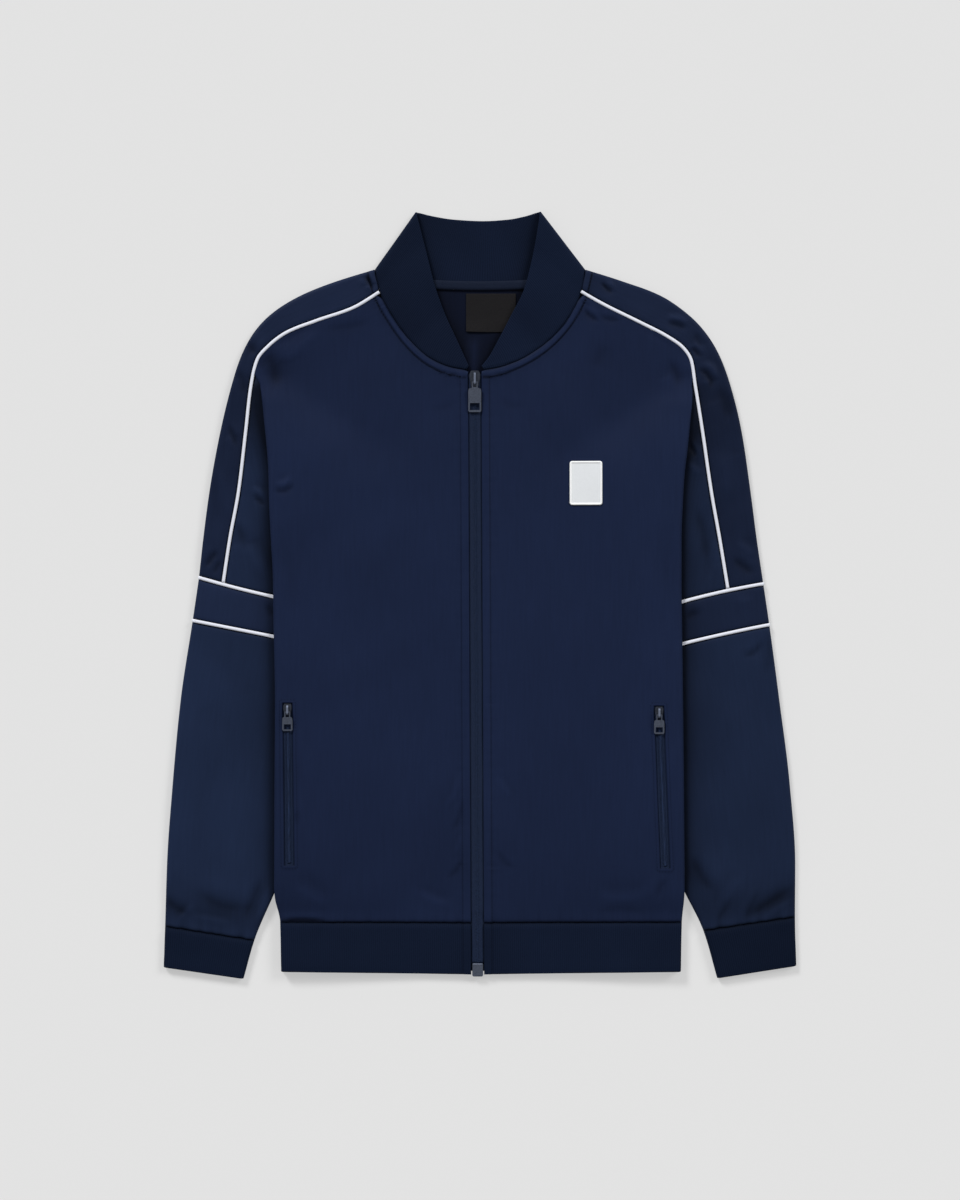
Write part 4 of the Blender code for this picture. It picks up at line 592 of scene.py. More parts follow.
def hem_back_point(side, down, share):
    y = mix(HEM_SEAM - SEAM, HEM_END, down)
    start, edge = np.array((0.0, y)), np.array((edge_x(side, y), y))
    return place(side, *panel_point(share, start, edge, on_floor, lambda x, _: HEM_BACK_FOLD, 1.0, tuck(y)))


def collar_front_plan(side, along, height):
    seam_x, seam_y, edge_at_x, edge_y = NECK_CURVE[side](along)
    return mix((seam_x, seam_y), (edge_at_x, edge_y), height)


def collar_back_plan(side, x, height):
    seam_y, edge_at_x, edge_y = BACK_NECK_CURVE(SIGN[side] * x)
    return mix((x, seam_y), (SIGN[side] * edge_at_x, edge_y), height)


def collar_point(side, height, place_along):
    """place_along runs from -1 at the middle of the back, through 0 at the fold, to 1 at the zip."""
    rows = COLLAR_FRONT[side]
    fold = mix(rows[0][:2], rows[0][2:], height)
    fold_line = unit(np.subtract(rows[0][2:], rows[0][:2]))
    inward = np.array((-fold_line[1], fold_line[0]))
    in_front = place_along > 0
    beside = collar_back_plan(side, COLLAR_BACK_BESIDE, height)
    if in_front:
        beside = mix(rows[1][:2], rows[1][2:], height)
    beside_way = unit(beside - fold)
    reach = beside_way * COLLAR_HIGH / 2 / np.dot(inward, beside_way)
    turned = math.pi / 2 * min(abs(place_along) / COLLAR_ARC, 1.0)
    z = COLLAR_HIGH / 2 * (1.0 + math.sin(turned) * (1 if in_front else -1))
    plan = fold + reach * (1.0 - math.cos(turned))
    share = (abs(place_along) - COLLAR_ARC) / (1 - COLLAR_ARC)
    if share > 0:
        flat = collar_front_plan if in_front else collar_back_plan
        first = np.linalg.norm(reach)
        last = NECK_CURVE[side].keys[-1] if in_front else COLLAR_SIDE
        if not in_front:
            first, last = COLLAR_SIDE - first, 0.0
        off = plan - flat(side, first, height)
        plan = flat(side, mix(first, last, share), height) + off * (1.0 - smooth(share / COLLAR_SETTLES))
        z -= COLLAR_ZIP_DROP * smooth(share) if in_front else 0.0
    return place(side, plan[0], plan[1], z)


def zip_floor(y):
    in_rib = smooth((HEM_SEAM + ZIP_RIB_ABOVE - y) / ZIP_RIB_RUN)
    return CENTRE_HIGH + ZIP_PROUD - CLOTH - LAYER - (RIB - CLOTH) * in_rib


def coil_floor(y):
    return zip_floor(y) + COIL_LIFT


def pocket_x(side, y):
    spot = POCKET[side]
    return mix(spot["x_top"], spot["x_bottom"], (spot["top"] - y) / (spot["top"] - spot["bottom"]))


# ------------------------------------------------------------------------------------------------ dense grids


def hermite(keys, values, at):
    """Values between rows along a smooth curve through them."""
    steps = np.diff(keys)
    secants = np.diff(values, axis=0) / steps.reshape(-1, *[1] * (values.ndim - 1))
    slopes = np.empty_like(values)
    slopes[0], slopes[-1] = secants[0], secants[-1]
    w = (steps[1:] / (steps[:-1] + steps[1:])).reshape(-1, *[1] * (values.ndim - 1))
    slopes[1:-1] = secants[:-1] * w + secants[1:] * (1 - w)
    i = np.clip(np.searchsorted(keys, at, side="right") - 1, 0, len(keys) - 2)
    shape = (-1, *[1] * (values.ndim - 1))
    step = steps[i].reshape(shape)
    f = ((at - keys[i]) / steps[i]).reshape(shape)
    return (values[i] * (1 + 2 * f) * (1 - f) ** 2 + values[i + 1] * f * f * (3 - 2 * f)
            + slopes[i] * step * f * (1 - f) ** 2 - slopes[i + 1] * step * f * f * (1 - f))


def lengths(points):
    return np.concatenate([[0.0], np.cumsum(np.linalg.norm(np.diff(points, axis=0), axis=1) + 1e-9)])


EDGE_STEPS = (0.0, 0.35, 0.8, 1.4, 2.4, 4.0)
STITCH_STEPS = (0.0, 0.35, 0.8, 1.4, 2.6, 4.4, 5.8, 6.6, 7.1, 7.6, 8.1, 8.8, 9.8, 11.0)


def lay_out(points, marks, counts, first=(), last=()):
    """Resamples a row. marks are its base points that stay, with counts steps between them, and first and last
    are the distances from its ends at which a point is wanted."""
    points = np.asarray(points, float)
    run = lengths(points)
    at = [run[m] for m in marks]
    squeeze = min(1.0, (at[1] - at[0]) / 40.0)
    near = [at[0] + d * squeeze for d in first] or [at[0]]
    squeeze = min(1.0, (at[-1] - at[-2]) / 12.0)
    far = [at[-1] - d * squeeze for d in last][::-1] or [at[-1]]
    keys = list(near[:-1])
    for i, count in enumerate(counts):
        a = near[-1] if i == 0 else at[i]
        b = far[0] if i == len(counts) - 1 else at[i + 1]
        keys += list(np.linspace(a, b, count + 1)[:-1])
    keys += far
    return hermite(run, points, np.array(keys))


def row_through(point_at, stops, sampled, steps, first=(), last=()):
    """A row from stop to stop. sampled says for each stretch at how many shares its points are worked out, both
    ends counted, and steps into how many steps it is then divided."""
    shares, marks = [stops[0]], [0]
    for a, b, count in zip(stops, stops[1:], sampled):
        shares += spread(count, a, b)[1:]
        marks.append(len(shares) - 1)
    return lay_out([point_at(share) for share in shares], marks, steps, first, last)


def between(low, high, step, first=(), last=()):
    """Keys from low to high, no further apart than step, with more at the distances near the ends."""
    near = [low + d for d in first] or [low]
    far = [high - d for d in last][::-1] or [high]
    count = max(int(math.ceil((far[0] - near[-1]) / step)), 1)
    return np.array(near[:-1] + list(np.linspace(near[-1], far[0], count + 1)) + far[1:])


def column_wise(grid, step, first=(), last=()):
    """Adds rows to a grid, no further apart than step along its middle."""
    grid = np.asarray(grid, float)
    run = lengths(grid[:, grid.shape[1] // 3])
    return hermite(run, grid, between(run[0], run[-1], step, first, last))


STEP = 2.8


def counted(length):
    return max(int(round(length / STEP)), 2)


def lower_runs(side, heights):
    top = shoulder_y(side)
    return [1.0 + (top - y) / (top - HEM_SEAM - SEAM) for y in heights]


SHOULDER_STEPS = (2.0, 3.4, 5.0, 7.0, 9.5, 12.5, 16.0, 20.0, 25.0, 31.0, 38.0, 46.0, 55.0, 65.0, 76.0, 88.0)
NEAR_YOKE_END = [0.965, 0.985, 0.995, 1.0]


def body_runs(side):
    top = shoulder_y(side)
    heights = [top - s for s in SHOULDER_STEPS] + list(np.arange(top - 100.0, HEM_SEAM + 16.0, -13.0))
    heights += [HEM_SEAM + d for d in (14.0, 9.0, 5.0, 2.0)]
    return spread(16)[:-1] + NEAR_YOKE_END + lower_runs(side, heights) + [2.0]


def both_halves(rows_of):
    """The rows of a piece that runs across the middle, from each side's rows, which begin there."""
    right, left = (np.array(rows_of(side)) for side in SIDES)
    right[:, 0] = left[:, 0] = (right[:, 0] + left[:, 0]) / 2
    return np.concatenate([right[:, :0:-1], left], axis=1)


# ------------------------------------------------------------------------------------------------ creases

# Folds and dents pressed into the cloth. For each piece: points of the line, its width, and how far it rises (or
# sinks, where it is negative). All in millimetres, x as it lies.
CREASES = {
    "front_right": [
        (((-215, 248), (-208, 231), (-204, 204)), 14.0, -1.5),
        (((-188, 238), (-176, 252), (-160, 264)), 9.0, 0.7),
        (((-160, 266), (-134, 268), (-108, 274)), 7.0, -0.5),
        (((-208, 106), (-196, 104), (-184, 112)), 3.4, -1.3),
        (((-206, 112), (-196, 111), (-188, 120)), 4.0, 0.8),
        (((-200, 60), (-188, 20), (-186, -30)), 14.0, -0.25),
        (((-180, -214), (-184, -222), (-180, -232)), 6.0, -0.5),
        (((-20, -176), (-26, -200), (-36, -216)), 3.6, 0.7),
        (((-17, -204), (-22, -226), (-30, -240)), 3.4, -0.7),
        (((-17, -236), (-22, -252), (-28, -262)), 3.4, 0.6),
        (((-17, -262), (-24, -276), (-34, -284)), 3.6, -0.7),
        (((-66, -296), (-48, -306), (-26, -312)), 6.0, 0.7),
        (((-204, -326), (-182, -325), (-150, -326)), 2.4, -1.7),
        (((-192, -290), (-178, -296), (-150, -314)), 9.0, 0.7),
        (((-20, 196), (-34, 188), (-52, 186)), 6.0, -0.3),
        (((-224, 206), (-219, 190), (-216, 172)), 3.0, -1.0),
    ],
    "front_left": [
        (((103, 286), (112, 278), (120, 274)), 4.0, -1.3),
        (((118, 279), (130, 276), (142, 276)), 4.0, -0.9),
        (((188, 236), (196, 224), (200, 206)), 8.0, -1.0),
        (((132, 252), (120, 240), (112, 224)), 14.0, -0.5),
        (((196, 90), (186, 40), (190, -20)), 14.0, -0.25),
        (((18, 198), (30, 190), (46, 190)), 5.0, -0.3),
        (((16, -180), (26, -196), (34, -206)), 3.6, 0.6),
        (((16, -252), (24, -266), (36, -276)), 3.6, -0.6),
        (((112, -318), (140, -314), (172, -319)), 6.0, -0.45),
        (((110, -300), (140, -304), (176, -298)), 8.0, 0.6),
        (((188, -282), (180, -292), (178, -304)), 5.0, -0.6),
    ],
    "stripe_right": [
        (((-115, 321), (-110, 313), (-107, 304)), 2.6, -2.0),
        (((-119, 318), (-115, 309)), 3.0, 1.0),
        (((-238, 256), (-230, 248), (-222, 240)), 8.0, -1.5),
        (((-244, 228), (-238, 214), (-236, 198)), 7.0, -1.0),
        (((-252, 172), (-247, 158), (-243, 146)), 3.6, -1.2),
        (((-262, 130), (-254, 100), (-252, 70)), 8.0, 0.8),
        (((-276, 26), (-268, 38), (-262, 46)), 5.0, -1.4),
        (((-268, 20), (-262, 30), (-258, 36)), 4.0, -1.0),
    ],
    "stripe_left": [
        (((121, 314), (127, 307), (134, 301)), 3.0, -1.9),
        (((129, 315), (134, 308)), 3.0, 1.0),
        (((186, 272), (196, 271), (208, 266)), 4.2, -1.7),
        (((184, 278), (198, 277), (210, 272)), 4.5, 0.9),
        (((214, 263), (219, 254), (221, 246)), 6.0, -1.0),
        (((210, 248), (217, 243), (220, 236)), 3.4, -1.5),
        (((216, 226), (224, 224), (231, 216), (230, 205)), 3.6, -1.8),
        (((222, 233), (232, 228), (238, 216)), 4.5, 1.1),
        (((238, 212), (246, 194), (250, 172)), 10.0, -1.0),
        (((236, 150), (246, 120), (250, 90)), 12.0, 0.8),
        (((252, 38), (262, 30), (276, 20)), 6.0, -1.4),
        (((256, 54), (268, 44), (278, 38)), 6.0, 0.9),
    ],
    "upper_sleeve_front_right": [
        (((-229, 101), (-222, 96), (-214, 90)), 3.4, -1.3),
        (((-230, 108), (-222, 104), (-215, 99)), 4.0, 0.8),
        (((-246, 74), (-238, 58), (-232, 40)), 7.0, -1.0),
        (((-240, 60), (-226, 36), (-216, 14)), 9.0, 0.9),
    ],
    "upper_sleeve_front_left": [
        (((207, 152), (213, 146), (217, 137)), 3.0, -1.5),
        (((206, 136), (214, 126), (222, 120)), 5.0, 0.9),
        (((216, 90), (224, 60), (228, 30)), 8.0, -0.9),
        (((232, 60), (238, 36), (240, 16)), 7.0, 0.8),
    ],
    "band_right": [(((-215, -8), (-209, -16), (-205, -24)), 5.0, -1.0)],
    "band_left": [
        (((206, -26), (214, -18), (222, -22)), 6.0, -0.9),
        (((250, -2), (262, -6), (276, -4)), 8.0, 0.7),
    ],
    "lower_sleeve_right": [
        (((-318, -300), (-306, -312), (-286, -322)), 7.0, -1.1),
        (((-302, -328), (-294, -318), (-284, -308)), 4.0, 0.7),
        (((-292, -322), (-270, -325), (-246, -330)), 4.0, 0.6),
        (((-288, -294), (-256, -312), (-222, -312)), 12.0, -1.1),
        (((-218, -280), (-226, -302), (-238, -328)), 6.0, -0.9),
        (((-212, -290), (-217, -312), (-226, -334)), 4.5, 0.9),
        (((-290, -60), (-262, -90), (-246, -140)), 16.0, 0.3),
        (((-270, -160), (-280, -220), (-286, -270)), 18.0, -0.3),
    ],
    "lower_sleeve_left": [
        (((212, -258), (222, -282), (238, -300)), 9.0, -1.1),
        (((236, -330), (243, -318), (254, -300)), 4.5, -0.7),
        (((318, -290), (292, -306), (262, -326)), 8.0, -1.1),
        (((318, -304), (300, -313), (282, -325)), 4.0, 0.5),
        (((264, -330), (270, -314), (282, -292)), 4.5, -0.7),
        (((264, -280), (250, -300), (244, -316)), 9.0, 0.7),
        (((282, -44), (276, -56), (262, -62)), 4.5, -1.1),
        (((288, -36), (290, -60), (284, -84)), 8.0, -0.6),
        (((250, -90), (262, -150), (268, -210)), 18.0, 0.3),
    ],
}


LIT_FROM = np.array((-0.35, 1.0))


def nearest(x, y, line):
    """For each place its distance from a line in plan, how far along the line its nearest point is, from 0 to 1,
    and on which stretch of the line that point is."""
    line = np.asarray(line, float)
    run = lengths(line)
    best, along, stretch = np.full(x.shape, 1e9), np.zeros(x.shape), np.zeros(x.shape, int)
    for i in range(len(line) - 1):
        a, ab = line[i], line[i + 1] - line[i]
        t = np.clip(((x - a[0]) * ab[0] + (y - a[1]) * ab[1]) / (ab @ ab), 0.0, 1.0)
        d = np.hypot(x - a[0] - ab[0] * t, y - a[1] - ab[1] * t)
        nearer = d < best
        best = np.where(nearer, d, best)
        along = np.where(nearer, (run[i] + t * (run[i + 1] - run[i])) / run[-1], along)
        stretch[nearer] = i
    return best, along, stretch


def stroke(x, y, points, width):
    """How near each place is to a line through the points: 1 on it, fading over the width and towards its ends.
    And the same for the swell that goes with it, on the side that the light comes from."""
    line = np.asarray(points, float)
    if len(line) > 2:
        run = lengths(line)
        line = hermite(run, line, np.linspace(0.0, run[-1], 3 * len(line)))
    away, along, stretch = nearest(x, y, line)
    lit = np.array([unit((-way[1], way[0])) for way in np.diff(line, axis=0)])
    lit *= np.where(lit @ LIT_FROM > 0, 1.0, -1.0)[:, None]
    above = (x - line[stretch, 0]) * lit[stretch, 0] + (y - line[stretch, 1]) * lit[stretch, 1]
    tapered = width * (0.3 + 1.0 * np.sin(np.clip(along, 0.0, 1.0) * math.pi) ** 0.8) * 0.44
    crest = np.exp(-(np.sqrt(away ** 2 + 0.36 * width) - 0.6 * math.sqrt(width)) / tapered)
    past_end = np.maximum(away - np.abs(above), 0.0)
    beside = np.exp(-((above - 1.3 * width) / (0.9 * width)) ** 2 - (past_end / width) ** 2)
    faded = smooth(along / 0.35) * smooth((1.0 - along) / 0.35)
    return crest * faded, beside * faded


def waves(x, y, seed, size, count=7):
    """Low swells without a pattern, about 1 high."""
    rng = np.random.default_rng(seed)
    total = np.zeros(x.shape)
    for _ in range(count):
        angle, phase = rng.uniform(0, math.pi), rng.uniform(0, 2 * math.pi)
        length = size * rng.uniform(0.6, 1.6)
        total += np.sin((x * math.cos(angle) + y * math.sin(angle)) * 2 * math.pi / length + phase)
    return total / math.sqrt(count)


# ------------------------------------------------------------------------------------------------ shells


FLAT_CUTS = {}


def upward(n):
    """How far the cloth faces up at each point, from 0 to 1."""
    return n[..., 2].clip(0.0, 1.0)


def normals_of(grid, ring, flip):
    if ring:
        across = np.roll(grid, -1, axis=1) - np.roll(grid, 1, axis=1)
    else:
        across = np.gradient(grid, axis=1)
    down = np.gradient(grid, axis=0)
    n = np.cross(across, down)
    n /= np.linalg.norm(n, axis=2, keepdims=True) + 1e-12
    return -n if flip else n


def from_borders(grid):
    """Distances of each point from the grid's first and last row and its first and last column."""
    down = np.linalg.norm(np.diff(grid, axis=0), axis=2)
    run = np.concatenate([np.zeros((1, grid.shape[1])), np.cumsum(down, axis=0)])
    across = np.linalg.norm(np.diff(grid, axis=1), axis=2)
    side = np.concatenate([np.zeros((grid.shape[0], 1)), np.cumsum(across, axis=1)], axis=1)
    return {"top": run, "bottom": run[-1] - run, "first": side, "last": side[:, -1:] - side}


def rounded(distance, radius):
    """How far a surface has sunk at this distance from an edge rounded over the radius, as a share of it."""
    t = np.clip(1.0 - distance / radius, 0.0, 1.0)
    return 1.0 - np.sqrt(np.clip(1.0 - t * t, 0.0, 1.0))


def linked(name, data):
    """A new object in the scene."""
    obj = bpy.data.objects.new(name, data)
    bpy.context.scene.collection.objects.link(obj)
    return obj


def mesh_object(name, points, faces, corner_uvs, material):
    """faces is a list of index arrays, each with its own number of corners, and corner_uvs has one for each."""
    mesh = bpy.data.meshes.new(name)
    mesh.vertices.add(len(points))
    mesh.vertices.foreach_set("co", (np.asarray(points, np.float32) * MM).ravel())
    faces = [np.asarray(f, np.int32) for f in faces if len(f)]
    sides = np.concatenate([np.full(len(f), f.shape[1], np.int32) for f in faces])
    corners = np.concatenate([f.ravel() for f in faces])
    mesh.loops.add(len(corners))
    mesh.loops.foreach_set("vertex_index", corners)
    mesh.polygons.add(len(sides))
    mesh.polygons.foreach_set("loop_start", np.concatenate([[0], np.cumsum(sides)[:-1]]).astype(np.int32))
    mesh.polygons.foreach_set("loop_total", sides)
    mesh.update(calc_edges=True)
    layer = mesh.uv_layers.new(name="UVMap")
    flat = np.concatenate([np.asarray(uv, np.float32).reshape(-1, 2) for uv in corner_uvs]) * MM
    layer.data.foreach_set("uv", flat.ravel())
    mesh.polygons.foreach_set("use_smooth", np.ones(len(sides), bool))
    mesh.materials.append(material)
    return linked(name, mesh)


def grain_of(grid, away, ring, grain, turn):
    """Where each point lies in the flat cloth. "plan" keeps the grain straight up the jacket, turned by an angle,
    "rib" has it follow the columns, and "run" measures it along the rows and columns."""
    if grain == "plan":
        step = np.diff(grid, axis=1)
        way = np.sign(grid[0, grid.shape[1] // 3, 0] - grid[0, 0, 0]) or 1.0
        wide = np.cumsum(np.sqrt(step[..., 0] ** 2 + step[..., 2] ** 2), axis=1) * way
        u = grid[:, :1, 0] + np.concatenate([np.zeros((len(grid), 1)), wide], axis=1)
        v = grid[..., 1]
    elif grain == "rib":
        u = np.broadcast_to(away["first"].mean(axis=0), away["first"].shape)
        v = -away["top"]
    else:
        u, v = away["first"] - away["first"].mean(), -away["top"]
    c, s = math.cos(turn), math.sin(turn)
    around = np.linalg.norm(grid[:, 0] - grid[:, -1], axis=1) + away["first"][:, -1]
    if grain == "rib":
        around = np.full(len(grid), around.mean())
    return np.stack([u * c + v * s, v * c - u * s], axis=-1), around if ring else None


def shell(name, grid, thickness, material, ring=False, flip=False, borders=(), shape=None, grain="run", turn=0.0,
          hole=None, inside=None):
    """A closed cloth wall. borders gives, for "top", "bottom", "first" and "last", the radius of the outer face's
    rounding there, whether the inner face is rounded too, and how far the cloth dips into a seam there, which also
    sets the shade painted along the seam. shape(grid, normals, distances) returns how far the cloth moves out at
    each point, how far its outer face alone sinks, and how much lighter or darker it is painted there, mostly as
    painted light and shade. hole is (row, row, column, column), and inside the material of the inner face where it
    has its own."""
    grid = np.asarray(grid, float)
    rows, columns = grid.shape[:2]
    n = normals_of(grid, ring, flip)
    away = from_borders(grid)
    level = np.zeros((rows, columns))
    move, sink, shade = (level + part for part in (shape(grid, n, away) if shape else (0, 0, 0)))
    rise = level
    up = upward(n)
    for border, radius, both, dip in borders:
        drop = rounded(away[border], radius) * min(radius, thickness * (0.48 if both else 0.85))
        sink = np.maximum(sink, drop if both else drop * up)
        if dip:
            move = move - dip * np.exp(-(away[border] / 1.5) ** 1.3) * up
            # painted shade along the seam, where the cloth dips into it
            shade = shade - SEAM_PAINTED_SHADE * dip * np.exp(-(away[border] / (1.1 * dip)) ** 1.5) * up
        if both:
            rise = np.maximum(rise, drop)
    outer = grid + n * (move - sink)[..., None]
    inner = grid + n * (move - thickness + rise)[..., None]
    points = np.concatenate([outer.reshape(-1, 3), inner.reshape(-1, 3)])
    points[:, 2] = np.maximum(points[:, 2], 0.0)
    index = np.arange(rows * columns).reshape(rows, columns)
    if ring:
        a, b = index[:-1], np.roll(index, -1, axis=1)[:-1]
        c, d = np.roll(index, -1, axis=1)[1:], index[1:]
    else:
        a, b, c, d = index[:-1, :-1], index[:-1, 1:], index[1:, 1:], index[1:, :-1]
    outside = np.stack([a, b, c, d], axis=-1)
    total = rows * columns
    rims = [index[0], index[-1][::-1]]
    if ring:
        rims = [np.append(index[0], index[0][0]), np.append(index[-1], index[-1][0])[::-1]]
    else:
        rims += [index[::-1, 0], index[:, -1]]
    if hole:
        r1, r2, c1, c2 = hole
        kept = np.ones(outside.shape[:2], bool)
        kept[r1:r2, c1:c2] = False
        outside = outside[kept]
        around = index[r1:r2 + 1, c1:c2 + 1]
        rims += [around[0, ::-1], around[-1], around[:, 0], around[::-1, -1]]
    outside = outside.reshape(-1, 4)
    faces = [outside, outside[:, ::-1] + total]
    for rim in rims:
        faces.append(np.stack([rim[1:], rim[:-1], rim[:-1] + total, rim[1:] + total], axis=-1))
    faces = np.concatenate(faces)
    if flip:
        faces = faces[:, ::-1]
    uvs, around = grain_of(grid, away, ring, grain, turn)
    corner_uvs = np.concatenate([uvs.reshape(-1, 2)] * 2)[faces]
    if ring:
        column = (faces % total) % columns
        wraps = (column.max(axis=1) - column.min(axis=1) > columns // 2)[:, None] & (column < columns // 2)
        corner_uvs[..., 0] += np.where(wraps, around[(faces % total) // columns], 0.0)
    obj = mesh_object(name, points, [faces], [corner_uvs], material)
    # The "shade" attribute carries painted light and shade, with a little random mottle, which the materials
    # multiply into their colour
    tones = obj.data.attributes.new("shade", "FLOAT", "POINT")
    tones.data.foreach_set("value", np.tile(np.clip(shade, -0.75, 0.6).ravel(), 2).astype(np.float32))
    if inside:
        obj.data.materials.append(inside)
        which = np.zeros(len(faces), np.int32)
        which[len(outside):2 * len(outside)] = 1
        obj.data.polygons.foreach_set("material_index", which)
    closed = np.concatenate([grid, grid[:, :1]], axis=1) if ring else grid
    width = np.linalg.norm(np.diff(closed, axis=1), axis=2).sum(axis=1).max()
    one, other = closed[1:, 1:] - closed[:-1, :-1], closed[1:, :-1] - closed[:-1, 1:]
    area = np.linalg.norm(np.cross(one, other), axis=2).sum() / 2
    FLAT_CUTS[name] = (width, away["top"][-1].max(), area)
    return obj


def declare(obj, node):
    """Puts a cloth piece on the garment in its node's place and hides the node. It works out the size of its flat
    cut, which is then not used.
    """
    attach(obj, "garment")
    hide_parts(node)
    wide, long, area = FLAT_CUTS[obj.name]
    wide, long = max(round(wide * MM, 3), 0.01), max(round(long * MM, 3), 0.01)
    area = min(max(round(area * MM * MM, 6), 0.31 * wide * long), wide * long)
    obj.data.update()


def tube(name, sections, material, ring=False):
    """A closed body through sections with the same number of points each, or a ring of them."""
    sections = np.asarray(sections, float)
    count, points = sections.shape[:2]
    index = np.arange(count * points).reshape(count, points)
    after = np.roll(index, -1, axis=1)
    if ring:
        a, b, c, d = index, after, np.roll(after, -1, axis=0), np.roll(index, -1, axis=0)
    else:
        a, b, c, d = index[:-1], after[:-1], after[1:], index[1:]
    faces = [np.stack([a, b, c, d], axis=-1).reshape(-1, 4)]
    run = lengths(sections.mean(axis=1))
    around = lengths(sections[count // 2])
    uvs = np.stack(np.broadcast_arrays(around[None, :], run[:, None]), axis=-1).reshape(-1, 2)
    if not ring:
        faces += [index[:1, ::-1], index[-1:]]
    corner_uvs = [uvs[f] for f in faces]
    return mesh_object(name, sections.reshape(-1, 3), faces, corner_uvs, material)


def many(name, sections, material):
    """One mesh of many small closed bodies: sections has the shape (bodies, sections, points, 3). Their ends are
    closed with fans."""
    sections = np.asarray(sections, float)
    bodies, count, points = sections.shape[:3]
    index = np.arange(bodies * count * points).reshape(bodies, count, points)
    after = np.roll(index, -1, axis=2)
    quads = np.stack([index[:, :-1], after[:, :-1], after[:, 1:], index[:, 1:]], axis=-1).reshape(-1, 4)
    faces = [quads, index[:, 0, ::-1], index[:, -1]]
    uvs = sections.reshape(-1, 3)[:, :2]
    return mesh_object(name, sections.reshape(-1, 3), faces, [uvs[f] for f in faces], material)


def add_trim(obj, slot, *nodes):
    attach(obj, "garment")
    if nodes:
        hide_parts(*nodes)


# ------------------------------------------------------------------------------------------------ materials


def srgb(red, green, blue):
    return tuple(((c / 255 + 0.055) / 1.055) ** 2.4 if c > 10 else c / 255 / 12.92 for c in (red, green, blue))


class Nodes:
    """A material under construction. Sockets are linked by name."""

    def __init__(self, name, colour, roughness, **settings):
        self.material = bpy.data.materials.new(name)
        self.material.use_nodes = True
        self.tree = self.material.node_tree
        self.shader = self.tree.nodes["Principled BSDF"]
        self.shader.inputs["Base Color"].default_value = (*colour, 1.0)
        self.shader.inputs["Roughness"].default_value = roughness
        for socket, value in settings.items():
            self.shader.inputs[socket.replace("_", " ")].default_value = value
        self.colour = colour
        self.height = None

    def add(self, kind, settings=None, **inputs):
        node = self.tree.nodes.new("ShaderNode" + kind)
        for key, value in (settings or {}).items():
            setattr(node, key, value)
        for key, value in inputs.items():
            socket = node.inputs[int(key[1:])] if key[0] == "_" else node.inputs[key.replace("_", " ")]
            if isinstance(value, bpy.types.NodeSocket):
                self.tree.links.new(value, socket)
            else:
                socket.default_value = value
        return node

    def math(self, operation, a, b=0.0):
        return self.add("Math", {"operation": operation}, _0=a, _1=b).outputs[0]

    def place(self, scale, uv=True):
        source = self.add("TexCoord").outputs["UV" if uv else "Object"]
        return self.add("Mapping", Vector=source, Scale=scale).outputs[0]

    def noise(self, scale, detail=3.0, roughness=0.5, uv=True):
        place = self.place(scale, uv)
        return self.add("TexNoise", Vector=place, Scale=1.0, Detail=detail, Roughness=roughness).outputs[0]

    def wave(self, per_metre, across=True, warp=None):
        """A sine from 0 to 1 across or along the grain."""
        scale = (per_metre, 0.0, 0.0) if across else (0.0, per_metre, 0.0)
        place = self.place(scale)
        parts = self.add("SeparateXYZ", Vector=place)
        way = parts.outputs[0 if across else 1]
        if warp is not None:
            way = self.math("ADD", way, warp)
        turned = self.math("MULTIPLY", way, 2 * math.pi)
        return self.math("MULTIPLY_ADD", self.math("SINE", turned), 0.5)

    def mixed(self, factor, low, high):
        """Colour between two multiples of the base colour, times the "shade" attribute: painted shade in seams and
        valleys, painted light on ridges.
        """
        node = self.add("Mix", {"data_type": "RGBA"})
        self.tree.links.new(factor, node.inputs[0])
        for socket, share in ((node.inputs[6], low), (node.inputs[7], high)):
            socket.default_value = (*(min(c * share, 1.0) for c in self.colour), 1.0)
        shade = self.add("Attribute", {"attribute_name": "shade"}).outputs["Fac"]
        share = self.math("ADD", shade, 1.0)
        toned = self.add("VectorMath", {"operation": "SCALE"}, _0=node.outputs[2], Scale=share)
        self.tree.links.new(toned.outputs[0], self.shader.inputs["Base Color"])

    def bump(self, height, distance, strength=1.0):
        node = self.add("Bump", Height=height, Distance=distance, Strength=strength)
        if self.height is not None:
            self.tree.links.new(self.height, node.inputs["Normal"])
        self.height = node.outputs[0]
        self.tree.links.new(self.height, self.shader.inputs["Normal"])


def tricot(name, colour, sheen=0.06):
    """Smooth warp knit: fine upright wales, a faint cross grain and a soft satin sheen."""
    m = Nodes(name, colour, 0.5, Specular_IOR_Level=0.05, Sheen_Weight=sheen, Sheen_Roughness=0.4,
              Sheen_Tint=(0.35, 0.48, 0.85, 1.0))
    wander = m.math("MULTIPLY", m.noise((35.0, 6.0, 1.0), 2.0), 1.4)
    wales = m.wave(1250.0, warp=wander)
    courses = m.wave(1600.0, across=False)
    knit = m.math("MULTIPLY", wales, m.math("MULTIPLY_ADD", courses, 0.5))
    streaks = m.noise((420.0, 26.0, 1.0), 3.0, 0.6)
    cloudy = m.noise((16.0, 10.0, 1.0), 3.0)
    shade = m.math("ADD", m.math("MULTIPLY", streaks, 0.5), m.math("MULTIPLY", cloudy, 0.3))
    m.mixed(m.math("ADD", shade, m.math("MULTIPLY", knit, 0.25)), 0.72, 1.34)
    m.bump(m.noise((90.0, 60.0, 1.0), 3.0), 0.00016)
    m.bump(knit, 0.00006)
    return m.material


